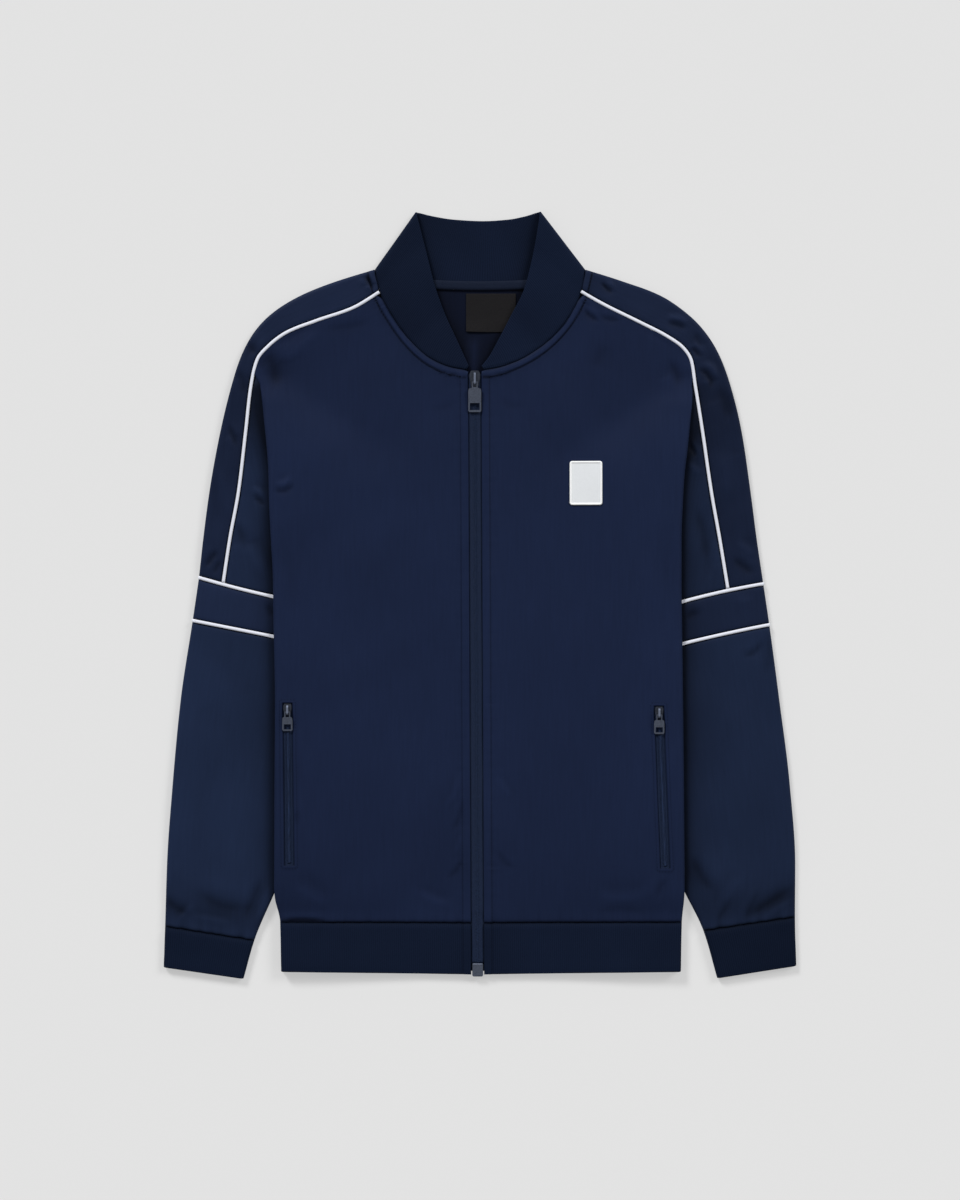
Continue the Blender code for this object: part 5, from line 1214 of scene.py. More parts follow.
def rib_knit(name, colour, pitch=2.1):
    """Doubled rib: rounded wales with valleys between them and small loops along each."""
    m = Nodes(name, colour, 0.7, Specular_IOR_Level=0.04, Sheen_Weight=0.05, Sheen_Roughness=0.5,
              Sheen_Tint=(0.35, 0.48, 0.85, 1.0))
    wander = m.math("MULTIPLY", m.noise((30.0, 12.0, 1.0), 2.0), 0.5)
    wales = m.wave(1000.0 / pitch, warp=wander)
    round_wales = m.math("POWER", wales, 0.6)
    loops = m.wave(1000.0 / 1.15, across=False, warp=m.math("MULTIPLY", wales, 0.35))
    fuzz = m.noise((900.0, 500.0, 1.0), 2.0)
    shade = m.math("ADD", m.math("MULTIPLY", round_wales, 0.62), m.math("MULTIPLY", fuzz, 0.38))
    m.mixed(shade, 0.76, 1.22)
    m.bump(m.noise((60.0, 60.0, 1.0), 2.0), 0.00015)
    m.bump(round_wales, 0.00018)
    m.bump(m.math("MULTIPLY", loops, round_wales), 0.00005)
    return m.material


def woven(name, colour, pitch=0.55, roughness=0.62, contrast=0.3, sheen=0.02, specular=0.08):
    """Plain weave, for tapes, label and patch."""
    m = Nodes(name, colour, roughness, Specular_IOR_Level=specular, Sheen_Weight=sheen, Sheen_Roughness=0.5)
    across = m.wave(1000.0 / pitch)
    along = m.wave(1000.0 / pitch / 1.3, across=False)
    over = m.math("MULTIPLY", across, along)
    under = m.math("MULTIPLY", m.math("SUBTRACT", 1.0, across), m.math("SUBTRACT", 1.0, along))
    weave = m.math("ADD", over, under)
    spots = m.noise((260.0, 260.0, 1.0), 3.0)
    shade = m.math("ADD", m.math("MULTIPLY", weave, 0.6), m.math("MULTIPLY", spots, 0.4))
    m.mixed(shade, 1 - contrast, 1 + contrast)
    m.bump(weave, 0.00010)
    return m.material


def satin_cord(name, colour):
    """Corded piping: fine slanting yarns wound round it."""
    m = Nodes(name, colour, 0.42, Specular_IOR_Level=0.35, Sheen_Weight=0.15, Sheen_Roughness=0.4)
    slant = m.add("SeparateXYZ", Vector=m.place((600.0, 900.0, 1.0)))
    turned = m.math("MULTIPLY", m.math("ADD", slant.outputs[0], slant.outputs[1]), 2 * math.pi)
    yarns = m.math("MULTIPLY_ADD", m.math("SINE", turned), 0.5)
    half = m.math("MULTIPLY", yarns, 0.5)
    m.mixed(m.math("ADD", half, m.math("MULTIPLY", m.noise((200.0, 90.0, 1.0)), 0.5)), 0.84, 1.1)
    m.bump(yarns, 0.00008)
    return m.material


def plastic(name, colour, grain, contrast, roughness=0.45):
    """Nylon coil, its turns lighter and darker along it. grain is how fine that is each way."""
    m = Nodes(name, colour, roughness, Specular_IOR_Level=0.10)
    m.mixed(m.noise(grain, uv=False), 1.0 - contrast, 1.0 + contrast)
    m.bump(m.noise((2500.0, 2500.0, 2500.0), uv=False), 0.00002)
    return m.material


def thread(name, colour):
    m = Nodes(name, colour, 0.6, Specular_IOR_Level=0.05)
    m.mixed(m.noise((900.0, 900.0, 900.0), uv=False), 0.7, 1.4)
    return m.material


def metal(name, colour, roughness=0.34, plate=None, crown=None):
    """Satin grey plated metal, brushed a little and brighter in spots, which is partly wear and partly painted
    glints.
    Where the heights of a plate and of the crown above it are given, it is dull down on the plate and bright on the
    crown: painted shade and painted highlight."""
    m = Nodes(name, colour, roughness, Metallic=0.85)
    brushed = m.noise((300.0, 5000.0, 300.0), 3.0, uv=False)
    spots = m.noise((700.0, 700.0, 700.0), 2.0, uv=False)
    wear_and_glints = m.math("ADD", m.math("MULTIPLY", brushed, 0.4), m.math("MULTIPLY", spots, 0.6))
    if crown is None:
        m.mixed(wear_and_glints, 0.45, 1.8)
    else:
        level = m.add("SeparateXYZ", Vector=m.place((1.0, 1.0, 1.0), uv=False)).outputs[2]
        raised = m.add("MapRange", Value=level, From_Min=plate, From_Max=crown).outputs[0]
        m.mixed(m.math("ADD", m.math("MULTIPLY", wear_and_glints, 0.3), m.math("MULTIPLY", raised, 0.7)), 0.15, 2.6)
    rough = m.add("MapRange", Value=spots, To_Min=roughness - 0.08, To_Max=roughness + 0.14)
    m.tree.links.new(rough.outputs[0], m.shader.inputs["Roughness"])
    m.bump(brushed, 0.00002)
    return m.material


METAL = srgb(92, 99, 115)
LOOKS = {
    "body_tricot": tricot("body_tricot", srgb(24, 34, 60)),
    # The back's inner face, seen in the neck: duller than the face, and far darker, which is painted shade of the
    # neck's depth
    "body_reverse_painted_shade": tricot("body_reverse_painted_shade", srgb(11, 17, 34), 0.01),
    "sleeve_tricot": tricot("sleeve_tricot", srgb(26, 37, 61)),
    "stripe_tricot": tricot("stripe_tricot", srgb(22, 31, 53)),
    "rib": rib_knit("rib", srgb(14, 23, 42)),
    "cuff_rib": rib_knit("cuff_rib", srgb(12, 21, 39)),
    "zip_tape": woven("zip_tape", srgb(24, 35, 58), contrast=0.45),
    "neck_tape": woven("neck_tape", srgb(17, 26, 45), 0.7),
    "coil": plastic("coil", srgb(25, 37, 61), (900.0, 350.0, 900.0), 0.7),
    # The pocket coils are lighter than the front coil and streaked lighter along their length: painted highlights
    # on the coil
    "pocket_coil": plastic("pocket_coil", srgb(30, 43, 70), (1100.0, 90.0, 1100.0), 1.0),
    "hardware": metal("hardware", METAL),
    "piping": satin_cord("piping", srgb(228, 231, 242)),
    "patch": woven("patch", srgb(226, 229, 232), 0.75, 0.6, 0.07),
    "patch_rim": woven("patch_rim", srgb(252, 254, 255), 0.6, 0.4, 0.03, 0.2, 0.5),
    "label": woven("label", srgb(25, 24, 26), 0.6, 0.55, 0.12),
    # The thread's own navy, darkened with painted shade for the dents the stitches sit in
    "thread": thread("thread", srgb(12, 19, 36)),
}


# ------------------------------------------------------------------------------------------------ cloth pieces


def creased(name, grid, n):
    """How far the creases of the piece move its upper face, and how much shade and light is painted on it along
    them.
    """
    x, y = grid[..., 0], grid[..., 1]
    up = upward(n) ** 2
    total = np.zeros(x.shape)
    for points, width, high in CREASES.get(name, ()):
        crest, beside = stroke(x, y, points, width)
        total += high * (crest - SWELL_BESIDE * beside)
    total *= up
    return total, np.where(total < 0, VALLEY_PAINTED_SHADE, RIDGE_PAINTED_LIGHT) * total


def side_of(name):
    return "left" if name.endswith("left") else "right"


def painted_shadow_beside_body(name, grid, n):
    """The shadow painted on a sleeve in the hollow beside the body's edge, where the body's folded edge lies over
    it.
    """
    side, y = side_of(name), grid[..., 1]
    heights = np.linspace(-330.0, 226.0, 90)
    edge = np.interp(y, heights, [edge_x(side, h) for h in heights])
    off = grid[..., 0] * SIGN[side] - edge
    close, wide = np.exp(-np.clip(off, 0.0, None) / 5.5), np.exp(-np.clip(off - 2.0, 0.0, None) / 18.0)
    near = close * 0.44 + wide * 0.36
    return -near * upward(n) * smooth((218.0 - y) / 14.0) * smooth((y + 330.0) / 50.0)


def swells(grid, n, seed, high, size):
    """Low waves all over the cloth, smaller where it lies on the floor."""
    up = upward(n)
    return waves(grid[..., 0], grid[..., 1], seed, size) * high * up


def puckers(distance, along, seed, high, reach=9.0, length=9.0):
    """Small gathers beside a seam."""
    rng = np.random.default_rng(seed)
    phase = rng.uniform(0, 6.28, 4)
    parts = zip((1.0, 1.37, 2.1, 0.73), phase)
    wave = sum(np.sin(along * 2 * math.pi / (length * f) + p) for f, p in parts) / 2
    return high * wave * np.exp(-distance / reach)


def allowance(past_stitch):
    """How high the seam allowance raises the cloth, by the distance past the line of stitches."""
    return STITCHED_RAISE * (1.0 - smooth((past_stitch + 0.9) / 2.2))


def topstitched(distance, stitch):
    """The seam allowance under the cloth beside a seam, and the line where the stitches pull it down."""
    return allowance(distance - stitch) + stitch_line(distance, stitch)


def stitch_line(distance, stitch):
    return -STITCH_DENT * np.exp(-((distance - stitch) / 0.85) ** 2)


def sewn_painted_light(distance, stitch):
    """Painted light and shade of a topstitched seam: shade along the stitches and below them, light on the raised
    cloth between them and the seam.
    """
    line = np.exp(-((distance - stitch - 0.2) / 0.8) ** 2)
    below = np.exp(-np.clip(distance - stitch, 0.0, None) / 3.0) * (distance > stitch)
    crest = np.exp(-((distance - stitch * 0.55) / 1.7) ** 2)
    return 0.10 * crest - 0.6 * line - 0.2 * below


def row_keys(run, column, anchors, first, last):
    """Keys down a grid, closer together near the anchors, which are heights reached by the column."""
    low, high = run[0], run[-1]
    stops = sorted([low, high] + [float(np.interp(-a, -column[:, 1], run)) for a in anchors])
    keys = []
    for i, (a, b) in enumerate(zip(stops[:-1], stops[1:])):
        near = first if i == 0 else EDGE_STEPS
        far = last if i == len(stops) - 2 else EDGE_STEPS
        part = between(a, b, STEP, near, far)
        keys += list(part[:-1])
    keys.append(high)
    return np.array(keys), [int(np.argmin(np.abs(np.array(keys) - s))) for s in stops]


def front_cloth(side):
    """A front's grid, with the rows and columns that bound the pocket's opening."""
    spot = POCKET[side]
    shares = spread(12, 0.0, FACE) + spread(14, FACE, ARC)[1:] + spread(7, ARC, 1.0)[1:]
    rows = []
    for run in body_runs(side):
        points = np.array([front_point(side, run, share) for share in shares])
        way = lengths(points)
        y = float(np.clip(points[6, 1], spot["bottom"], spot["top"]))
        start, edge = front_row(side, 1.0 + (shoulder_y(side) - y) / (shoulder_y(side) - HEM_SEAM - SEAM))
        reach = fold_height(side, y) / 2
        wide = edge[0] - reach - start[0]
        face = way[11]
        p1 = (pocket_x(side, y) - POCKET_HALF - start[0]) / wide * face
        p2 = (pocket_x(side, y) + POCKET_HALF - start[0]) / wide * face
        scale = min(1.0, face / 120.0)
        near = [d * scale for d in STITCH_STEPS]
        before = [p1 - d * scale for d in (14.0, 9.5, 8.0, 6.5, 4.0, 2.2, 1.2, 0.6, 0.25)]
        inside = [p1 + (p2 - p1) * f for f in (0.0, 0.08, 0.3, 0.7, 0.92)]
        room = face - p2
        after = [p2 + room * f for f in (0.0, 0.04, 0.1, 0.2, 0.36, 0.6, 0.8)]
        middle = list(np.linspace(near[-1], before[0], counted(150.0)))[1:-1]
        keys = near + middle + before + inside + after
        keys += spread(14, face, way[24]) + spread(14, way[24], way[30])[1:]
        first_inside = len(near) + len(middle) + len(before)
        rows.append(hermite(way, points, np.array(keys)))
    rows = np.array(rows)
    column = rows[:, first_inside + 2]
    run = lengths(rows[:, rows.shape[1] // 3])
    keys, stops = row_keys(run, column, (spot["top"], spot["bottom"]), STITCH_STEPS, EDGE_STEPS)
    return hermite(run, rows, keys), (stops[1], stops[2], first_inside, first_inside + 5)


def front_shape(side):
    neck = [neck_seam(side, share, NECK_GAP) for share in spread(40, 0.0, NECK_LAST)]
    neck = [(SIGN[side] * x, y) for x, y in neck]
    zip_edge = [(SIGN[side] * (ZIP_CHANNEL + SIGN[side] * zip_x(y)), y) for y in (226.0, HEM_SEAM)]
    spot = POCKET[side]
    slot = [(SIGN[side] * pocket_x(side, y), y) for y in (spot["top"], spot["bottom"])]

    def shape(grid, n, away):
        x, y = grid[..., 0], grid[..., 1]
        up = upward(n) ** 2
        from_neck, along_neck, _ = nearest(x, y, neck)
        from_zip = nearest(x, y, zip_edge)[0]
        raised = allowance(np.minimum(from_neck - NECK_STITCH, from_zip - ZIP_STITCH))
        raised = raised + stitch_line(from_neck, NECK_STITCH)
        raised = raised + stitch_line(from_zip, ZIP_STITCH) * np.where(from_neck > NECK_STITCH, 0.3, 0.0)
        raised = raised - SEAM_EDGE[2] * np.exp(-(from_neck / 1.5) ** 1.3)
        seed = 11 if side == "right" else 12
        folds, shade = creased("front_" + side, grid, n)
        move = raised * up + folds + swells(grid, n, seed, 0.22, 70.0)
        move += puckers(np.abs(from_neck - NECK_STITCH), along_neck * 190.0, seed + 2, 0.16, 5.0, 7.0) * up
        move += puckers(np.abs(from_zip - ZIP_STITCH), y, seed + 4, 0.14, 6.0, 8.0) * up
        move += puckers(away["bottom"], x, seed + 6, 0.42, 8.0, 11.0) * up
        dx = np.abs(x - np.interp(y, [slot[1][1], slot[0][1]], [slot[1][0], slot[0][0]])) - POCKET_HALF
        dy = np.maximum(y - spot["top"], spot["bottom"] - y)
        from_slot = np.hypot(np.maximum(dx, 0.0), np.maximum(dy, 0.0))
        inside = (dx <= 0) & (dy <= 0)
        from_stitch = from_slot - POCKET_STITCH
        welt = 0.25 * np.exp(-((from_slot - 1.5) / 1.4) ** 2) - 0.12 * np.exp(-(from_stitch / 0.8) ** 2)
        move += np.where(inside, 0.0, welt) * up
        # Painted shade along the stitches, in the neck seam, round the pocket's stitching and opening, towards the
        # hem and towards the shoulders, painted light on the raised seam allowance, and a little random mottle of
        # the cloth's own colour
        painted_light_and_colour = np.where(from_neck > NECK_STITCH, sewn_painted_light(from_zip, ZIP_STITCH) * 0.2, 0.0)
        painted_light_and_colour = painted_light_and_colour + sewn_painted_light(from_neck, NECK_STITCH) - 0.45 * np.exp(-(from_neck / 1.1) ** 1.5)
        painted_light_and_colour = painted_light_and_colour - 0.08 * np.exp(-(from_stitch / 0.9) ** 2) - 0.3 * np.exp(-(from_slot / 0.7) ** 2)
        painted_light_and_colour = painted_light_and_colour - 0.12 * smooth((-150.0 - y) / 140.0) - 0.07 * smooth((y - 140.0) / 90.0)
        painted_light_and_colour = painted_light_and_colour + 0.035 * waves(x, y, seed + 9, 160.0)
        return move, rounded(from_slot, 0.8) * 0.6 * up, shade + painted_light_and_colour * up

    return shape


def ring_row(side, distance, sampled, steps):
    """A row all round the sleeve, without the point that would close it."""
    return row_through(lambda share: ring_point(side, distance, share % 1.0), RING_STOPS, sampled, steps)[:-1]


def ring_rows(side, distances, face_length):
    steps = counted(face_length), 8, counted(face_length), 8
    return [ring_row(side, distance, (12, 8, 12, 8), steps) for distance in distances]


def cloth_shape(name, seed, high=0.22, size=60.0, extra=None, painted_light_and_colour=None):
    def shape(grid, n, away):
        move, shade = creased(name, grid, n)
        move = move + swells(grid, n, seed, high, size)
        if extra:
            move = move + extra(grid, n, away)
        if painted_light_and_colour:
            shade = shade + painted_light_and_colour(grid, n, away)
        # Painted shadow beside the body's edge and painted light that differs by side; the waves added after it are
        # random mottle of the cloth's own colour
        if "sleeve" in name or "band" in name or "stripe" in name:
            shade = shade + painted_shadow_beside_body(name, grid, n) + SLEEVE_PAINTED_LIGHT[side_of(name)]
        return move, 0.0, shade + 0.05 * waves(grid[..., 0], grid[..., 1], seed + 1, 120.0)
    return shape


def build_fronts():
    for side in SIDES:
        grid, hole = front_cloth(side)
        obj = shell("cloth_front_" + side, grid, CLOTH, LOOKS["body_tricot"], flip=side == "left",
                    grain="plan", borders=[("top", *SEAM_EDGE), ("bottom", *HEM_EDGE), ("first", *ZIP_EDGE)],
                    hole=hole, shape=front_shape(side))
        declare(obj, "front_" + side)


def painted_shade_in_neck(x, y, reach):
    """Painted shade on the cloth in the neck's opening, beside the collar that lies over it."""
    mouth = np.interp(y, *zip(*MOUTH))
    return -0.5 * np.exp(-np.clip(mouth - np.abs(x - MOUTH_MIDDLE), 0.0, None) / reach)


def back_rows(side):
    steps = counted(200.0) // 2, 8, 5
    return [row_through(partial(back_point, side, run), PANEL_STOPS, (12, 12, 7), steps)
            for run in body_runs(side)]


def build_back():
    grid = column_wise(both_halves(back_rows), STEP * 1.7, EDGE_STEPS, EDGE_STEPS)
    # Painted light along the fold's ridge and painted shade in the neck's opening
    shape = cloth_shape("back", 21, 0.12, 50.0, lambda g, n, a: -back_fold_line(g),
                        lambda g, n, a: 0.75 * back_fold_line(g) + painted_shade_in_neck(g[..., 0], g[..., 1], 8.0))
    obj = shell("cloth_back", grid, CLOTH, LOOKS["body_tricot"], grain="plan", shape=shape,
                borders=[("top", *CUT), ("bottom", *CUT)], inside=LOOKS["body_reverse_painted_shade"])
    declare(obj, "back")


def back_fold_line(grid):
    """The soft upright fold inside the back, below the label."""
    x, y = grid[..., 0], grid[..., 1]
    ridge = np.exp(-((x + 7.0) / 4.5) ** 2) * smooth((262.0 - y) / 14.0) * smooth((y - 215.0) / 12.0)
    return 1.1 * ridge


def build_hem():
    for side in SIDES:
        rows = [row_through(partial(hem_front_point, side, down), PANEL_STOPS, (12, 14, 7),
                            (counted(190.0), 14, 12), STITCH_STEPS, EDGE_STEPS) for down in spread(5)]
        grid = column_wise(rows, STEP * 0.8, EDGE_STEPS, EDGE_STEPS)

        def extra(grid, n, away):
            up = upward(n)
            x = grid[..., 0]
            high = topstitched(away["first"], ZIP_STITCH) * 0.8
            return (high + 0.35 * smooth(away["top"] / 5.0) * smooth(away["bottom"] / 6.0)
                    + puckers(away["top"], x, 31, 0.3, 7.0, 12.0)) * up

        # Painted shade and light along the zip's stitching
        painted_light_and_colour = lambda g, n, a: 0.2 * sewn_painted_light(a["first"], ZIP_STITCH) * upward(n)
        shape = cloth_shape("hem_rib_" + side, 33, 0.18, 55.0, extra, painted_light_and_colour)
        obj = shell("cloth_hem_rib_" + side, grid, RIB, LOOKS["rib"], flip=side == "left", grain="rib",
                    shape=shape, borders=[("top", *RIB_SEAM), ("bottom", *FOLDED), ("first", *ZIP_EDGE)])
        declare(obj, "hem_rib_" + side)
    grid = column_wise(both_halves(hem_back_rows), STEP * 1.3, EDGE_STEPS, EDGE_STEPS)
    obj = shell("cloth_hem_rib_back", grid, RIB, LOOKS["rib"], grain="rib",
                borders=[("top", *CUT), ("bottom", *FOLDED)])
    declare(obj, "hem_rib_back")


def hem_back_rows(side):
    return [row_through(partial(hem_back_point, side, down), PANEL_STOPS, (8, 12, 6), (counted(120.0), 10, 10))
            for down in spread(5)]


def painted_shade_under_fold(grid, n, away):
    """Painted shade on the upper sleeve where the front's fold rises over it, below the shoulder."""
    return -0.45 * smooth((grid[..., 1] - 120.0) / 70.0)


SLEEVE_TURN = math.radians(9.0)


def build_sleeves():
    for side in SIDES:
        left = side == "left"
        turn = -SLEEVE_TURN * SIGN[side]
        # the stripe panel
        stations = spread(46, 0.25, STRIPE_LENGTH[side] - PIPING_SLOT * 1.1)
        rows = [row_through(partial(stripe_point, side, station), STRIPE_STOPS, (10, 12, 10),
                            (counted(36.0), 10, counted(36.0)), EDGE_STEPS, EDGE_STEPS) for station in stations]
        grid = column_wise(rows, STEP * 0.9, STITCH_STEPS, EDGE_STEPS)
        extra = lambda g, n, a: (topstitched(a["top"], NECK_STITCH)
                                 + puckers(a["first"], a["top"], 41, 0.2, 4.0, 8.0)) * upward(n) ** 2
        # Painted shade and light along the neck's topstitching, and painted light on the top of the shoulder
        painted_light_and_colour = lambda g, n, a: ((sewn_painted_light(a["top"], NECK_STITCH) + 0.16 * smooth((g[..., 1] - 215.0) / 50.0))
                                * upward(n))
        obj = shell("cloth_stripe_" + side, grid, CLOTH, LOOKS["stripe_tricot"], flip=left,
                    borders=[("top", 0.8, False, 0.7), *((b, *SEAM_EDGE) for b in ("bottom", "first", "last"))],
                    shape=cloth_shape("stripe_" + side, 43, 0.2, 45.0, extra, painted_light_and_colour))
        declare(obj, "stripe_" + side)
        # the upper sleeve, over and under
        for under in (False, True):
            name = "upper_sleeve_" + ("back_" if under else "front_") + side
            rows = [row_through(partial(upper_sleeve_point, side, under, run), (0.0, 1.0), (12,),
                                (counted(90.0),), EDGE_STEPS, EDGE_STEPS) for run in spread(34)]
            grid = column_wise(rows, STEP, EDGE_STEPS, EDGE_STEPS)
            extra = lambda g, n, a: (puckers(a["first"], a["top"], 51, 0.2, 4.0, 8.0) * upward(n)
                                     - 1.3 * smooth((g[..., 1] - shoulder_y(side) + 14.0) / 12.0))
            obj = shell("cloth_" + name, grid, CLOTH, LOOKS["sleeve_tricot"], flip=left == under, grain="plan",
                        turn=turn, borders=[(b, *SEAM_EDGE) for b in ("first", "bottom")],
                        shape=None if under else cloth_shape(name, 53, 0.22, 50.0, extra, painted_shade_under_fold))
            declare(obj, name)
        # band, lower sleeve and cuff
        band = ring_rows(side, spread(9, PIPING_SLOT, BAND_LENGTH[side] - PIPING_SLOT), 130.0)
        grid = column_wise(band, STEP * 0.8, EDGE_STEPS, EDGE_STEPS)
        obj = shell("cloth_band_" + side, grid, CLOTH, LOOKS["stripe_tricot"], ring=True, flip=not left,
                    borders=[("top", *SEAM_EDGE), ("bottom", *SEAM_EDGE)],
                    shape=cloth_shape("band_" + side, 61, 0.18, 45.0, painted_light_and_colour=lambda g, n, a: BAND_COLOUR_AND_PAINTED_LIGHT[side]))
        declare(obj, "band_" + side)
        rows = ring_rows(side, spread(34, BAND_LENGTH[side] + PIPING_SLOT, CUFF_SEAM[side] - SEAM / 2), 110.0)
        grid = column_wise(rows, STEP, EDGE_STEPS, EDGE_STEPS)

        def gathers(g, n, a):
            up = upward(n)
            return (puckers(a["bottom"], a["first"], 63, 0.7, 7.0, 14.0)
                    + puckers(a["top"], a["first"], 65, 0.2, 5.0, 9.0)) * up

        # Painted light and shade on the gathers above the cuff, and painted shade in the hollow there
        def gathered_painted_shade(g, n, a):
            hollow = np.exp(-((a["bottom"] - 20.0) / 20.0) ** 2)
            return 0.08 * puckers(a["bottom"], a["first"], 63, 1.0, 7.0, 14.0) - 0.28 * hollow

        obj = shell("cloth_lower_sleeve_" + side, grid, CLOTH, LOOKS["sleeve_tricot"], ring=True, flip=not left,
                    borders=[("top", *SEAM_EDGE), ("bottom", *HEM_EDGE)],
                    shape=cloth_shape("lower_sleeve_" + side, 67, 0.26, 65.0, gathers, gathered_painted_shade))
        declare(obj, "lower_sleeve_" + side)
        rows = ring_rows(side, spread(7, CUFF_SEAM[side] + SEAM / 2, CUFF_END[side]), 84.0)
        grid = column_wise(rows, STEP * 0.8, EDGE_STEPS, EDGE_STEPS)

        def cuff_swell(g, n, a):
            up = upward(n)
            return (0.3 * smooth(a["top"] / 5.0) * smooth(a["bottom"] / 5.0)
                    + puckers(a["top"], a["first"], 71, 0.3, 6.0, 11.0)) * up

        obj = shell("cloth_cuff_" + side, grid, RIB, LOOKS["cuff_rib"], ring=True, flip=not left, grain="rib",
                    borders=[("top", *RIB_SEAM), ("bottom", *FOLDED)],
                    shape=cloth_shape("cuff_" + side, 73, 0.14, 40.0, cuff_swell,
                                      lambda g, n, a: CUFF_PAINTED_LIGHT[side]))
        declare(obj, "cuff_" + side)


def collar_rows(side):
    steps = counted(80.0), 16, counted(170.0)
    return [row_through(partial(collar_point, side, height), COLLAR_STOPS, (14, 13, 24), steps, (), EDGE_STEPS)
            for height in spread(9, COLLAR_UNDER, 1.0)]


def build_collar():
    grid = column_wise(both_halves(collar_rows), STEP * 0.8, EDGE_STEPS, EDGE_STEPS)

    def shape(grid, n, away):
        up = upward(n)
        along = np.minimum(away["first"], away["last"])
        move = swells(grid, n, 81, 0.25, 60.0) + puckers(away["top"], away["first"], 83, 0.18, 6.0, 14.0) * up
        for place_at, wide, high in COLLAR_WAVES:
            move += high * np.exp(-((along - place_at) / wide) ** 2) * up
        x, y = grid[..., 0], grid[..., 1]
        # Painted shade in the neck's opening, painted light over the inner face and along the fold of its edge, and
        # painted light on the left half and shade on the right; the waves are random mottle of the rib's own colour
        inner = upward(-n)
        shade = painted_shade_in_neck(x, y, 11.0) * inner + 0.06 * inner
        shade = shade + 0.16 * np.exp(-(away["bottom"] / 1.6) ** 2) * inner + 0.08 * np.sign(x) * up
        return move, 0.0, shade + 0.05 * waves(x, y, 85, 70.0)

    obj = shell("cloth_collar", grid, COLLAR, LOOKS["rib"], flip=True, grain="rib", shape=shape,
                borders=[("top", *SEAM_EDGE), ("bottom", 1.05, True, 0.0), ("first", 0.9, True, 0.0),
                         ("last", 0.9, True, 0.0)])
    declare(obj, "collar")


def build_neck():
    rows = [[(x, BACK_NECK_CURVE(x)[0] + off, z) for x in spread(60, -NECK_TAPE_END, NECK_TAPE_END)]
            for off, z in NECK_TAPE]
    grid = column_wise(rows, 0.9)
    # Painted shadow along the tape's lower edge and painted shade along its upper edge
    shape = lambda g, n, a: (0.25 * smooth(a["top"] / 3.0) * smooth(a["bottom"] / 3.0), 0.0,
                             -0.35 * np.exp(-(a["bottom"] / 1.4) ** 2) - 0.2 * np.exp(-(a["top"] / 0.8) ** 2))
    obj = shell("cloth_neck_tape", grid, TAPE_THICK, LOOKS["neck_tape"], flip=True, shape=shape, grain="plan",
                borders=[("top", 0.48, True, 0.0), ("bottom", 0.48, True, 0.0)])
    declare(obj, "neck_tape")
    rows, ends = [], (0.0, 0.2, 0.5, 1.0)
    middle, half = (LABEL_RIGHT + LABEL_LEFT) / 2, (LABEL_RIGHT - LABEL_LEFT) / 2
    for y in -between(-LABEL_TOP, -LABEL_BOTTOM, 1.2, ends, ends):
        z = LABEL_HIGH + LABEL_CURL * smooth((LABEL_CURLS_BELOW - y) / (LABEL_CURLS_BELOW - LABEL_BOTTOM))
        sag = LABEL_SAG * smooth((LABEL_TOP - y) / (LABEL_TOP - LABEL_BOTTOM))
        rows.append([(x, y + sag * (((x - middle) / half) ** 2 - 1.0) * 0.5, z)
                     for x in between(LABEL_LEFT, LABEL_RIGHT, 1.2, ends, ends)])

    def bowed(g, n, a):
        low = smooth((LABEL_BOWS_BELOW - g[..., 1]) / LABEL_BOW_RUN)
        along = (g[..., 0] - LABEL_LEFT) / (LABEL_RIGHT - LABEL_LEFT)
        return LABEL_BOW * low * np.sin(along * 2 * math.pi + 0.6), 0.0, 0.0

    obj = shell("cloth_label", rows, LABEL_THICK, LOOKS["label"], flip=True, shape=bowed, grain="plan",
                borders=[(b, 0.33, True, 0.0) for b in ("top", "bottom", "first", "last")])
    declare(obj, "label")


# ------------------------------------------------------------------------------------------------ trim


def build_piping():
    angles = np.linspace(0, 2 * math.pi, 14, endpoint=False)
    profile = [(PIPING_HALF * math.cos(a), (0.95 if a <= math.pi else 1.0) * math.sin(a)) for a in angles]

    def section(centre, across, out, proud=1.0):
        points = np.array([centre + across * u + out * (v * proud if v > 0 else v) for u, v in profile])
        points[:, 2] = np.maximum(points[:, 2], 0.0)
        return points

    for side in SIDES:
        for under in (False, True):
            columns = BACK_SEAM if under else FRONT_SEAM
            level = sleeve_low if under else sleeve_top
            up = np.array((0.0, 0.0, -1.0 if under else 1.0))
            sections = []
            stations = between(1.0, STRIPE_LENGTH[side] - PIPING_SLOT * 1.1, STEP * 0.8, (0.0, 0.5, 1.2))
            for station in stations:
                here, out = seam_at(side, station, columns)
                raised = 0.0 if under else float(topstitched(station, NECK_STITCH))
                centre = np.array(place(side, here[0], here[1], level(side, *here) + raised))
                across = np.array(place(side, out[0], out[1], 0.0))
                sections.append(section(centre, across, up))
            name = "piping_long_" + ("back_" if under else "front_") + side
            if (side == "left") != under:
                sections = [s[::-1] for s in sections]
            obj = tube("trim_" + name, sections, LOOKS["piping"])
            add_trim(obj, "piping", name)
        for name, distance in (("piping_band_upper_", 0.0), ("piping_band_lower_", BAND_LENGTH[side])):
            steps = counted(130.0), 12, counted(130.0) // 2, 12
            line, below = (ring_row(side, at, (12, 10, 12, 10), steps) for at in (distance, distance + 1.0))
            sections = []
            for i, centre in enumerate(line):
                around = unit(line[(i + 1) % len(line)] - line[i - 1])
                down = below[i] - centre
                across = unit(down - around * np.dot(down, around))
                out = np.cross(around, across) * SIGN[side]
                proud = smooth((abs(centre[0]) - edge_x(side, centre[1]) - 2.0) / 6.0)
                sections.append(section(centre, across, out, float(proud)))
            if side == "left":
                sections = [s[::-1] for s in sections]
            obj = tube("trim_" + name + side, sections, LOOKS["piping"], ring=True)
            add_trim(obj, "piping", name + side)


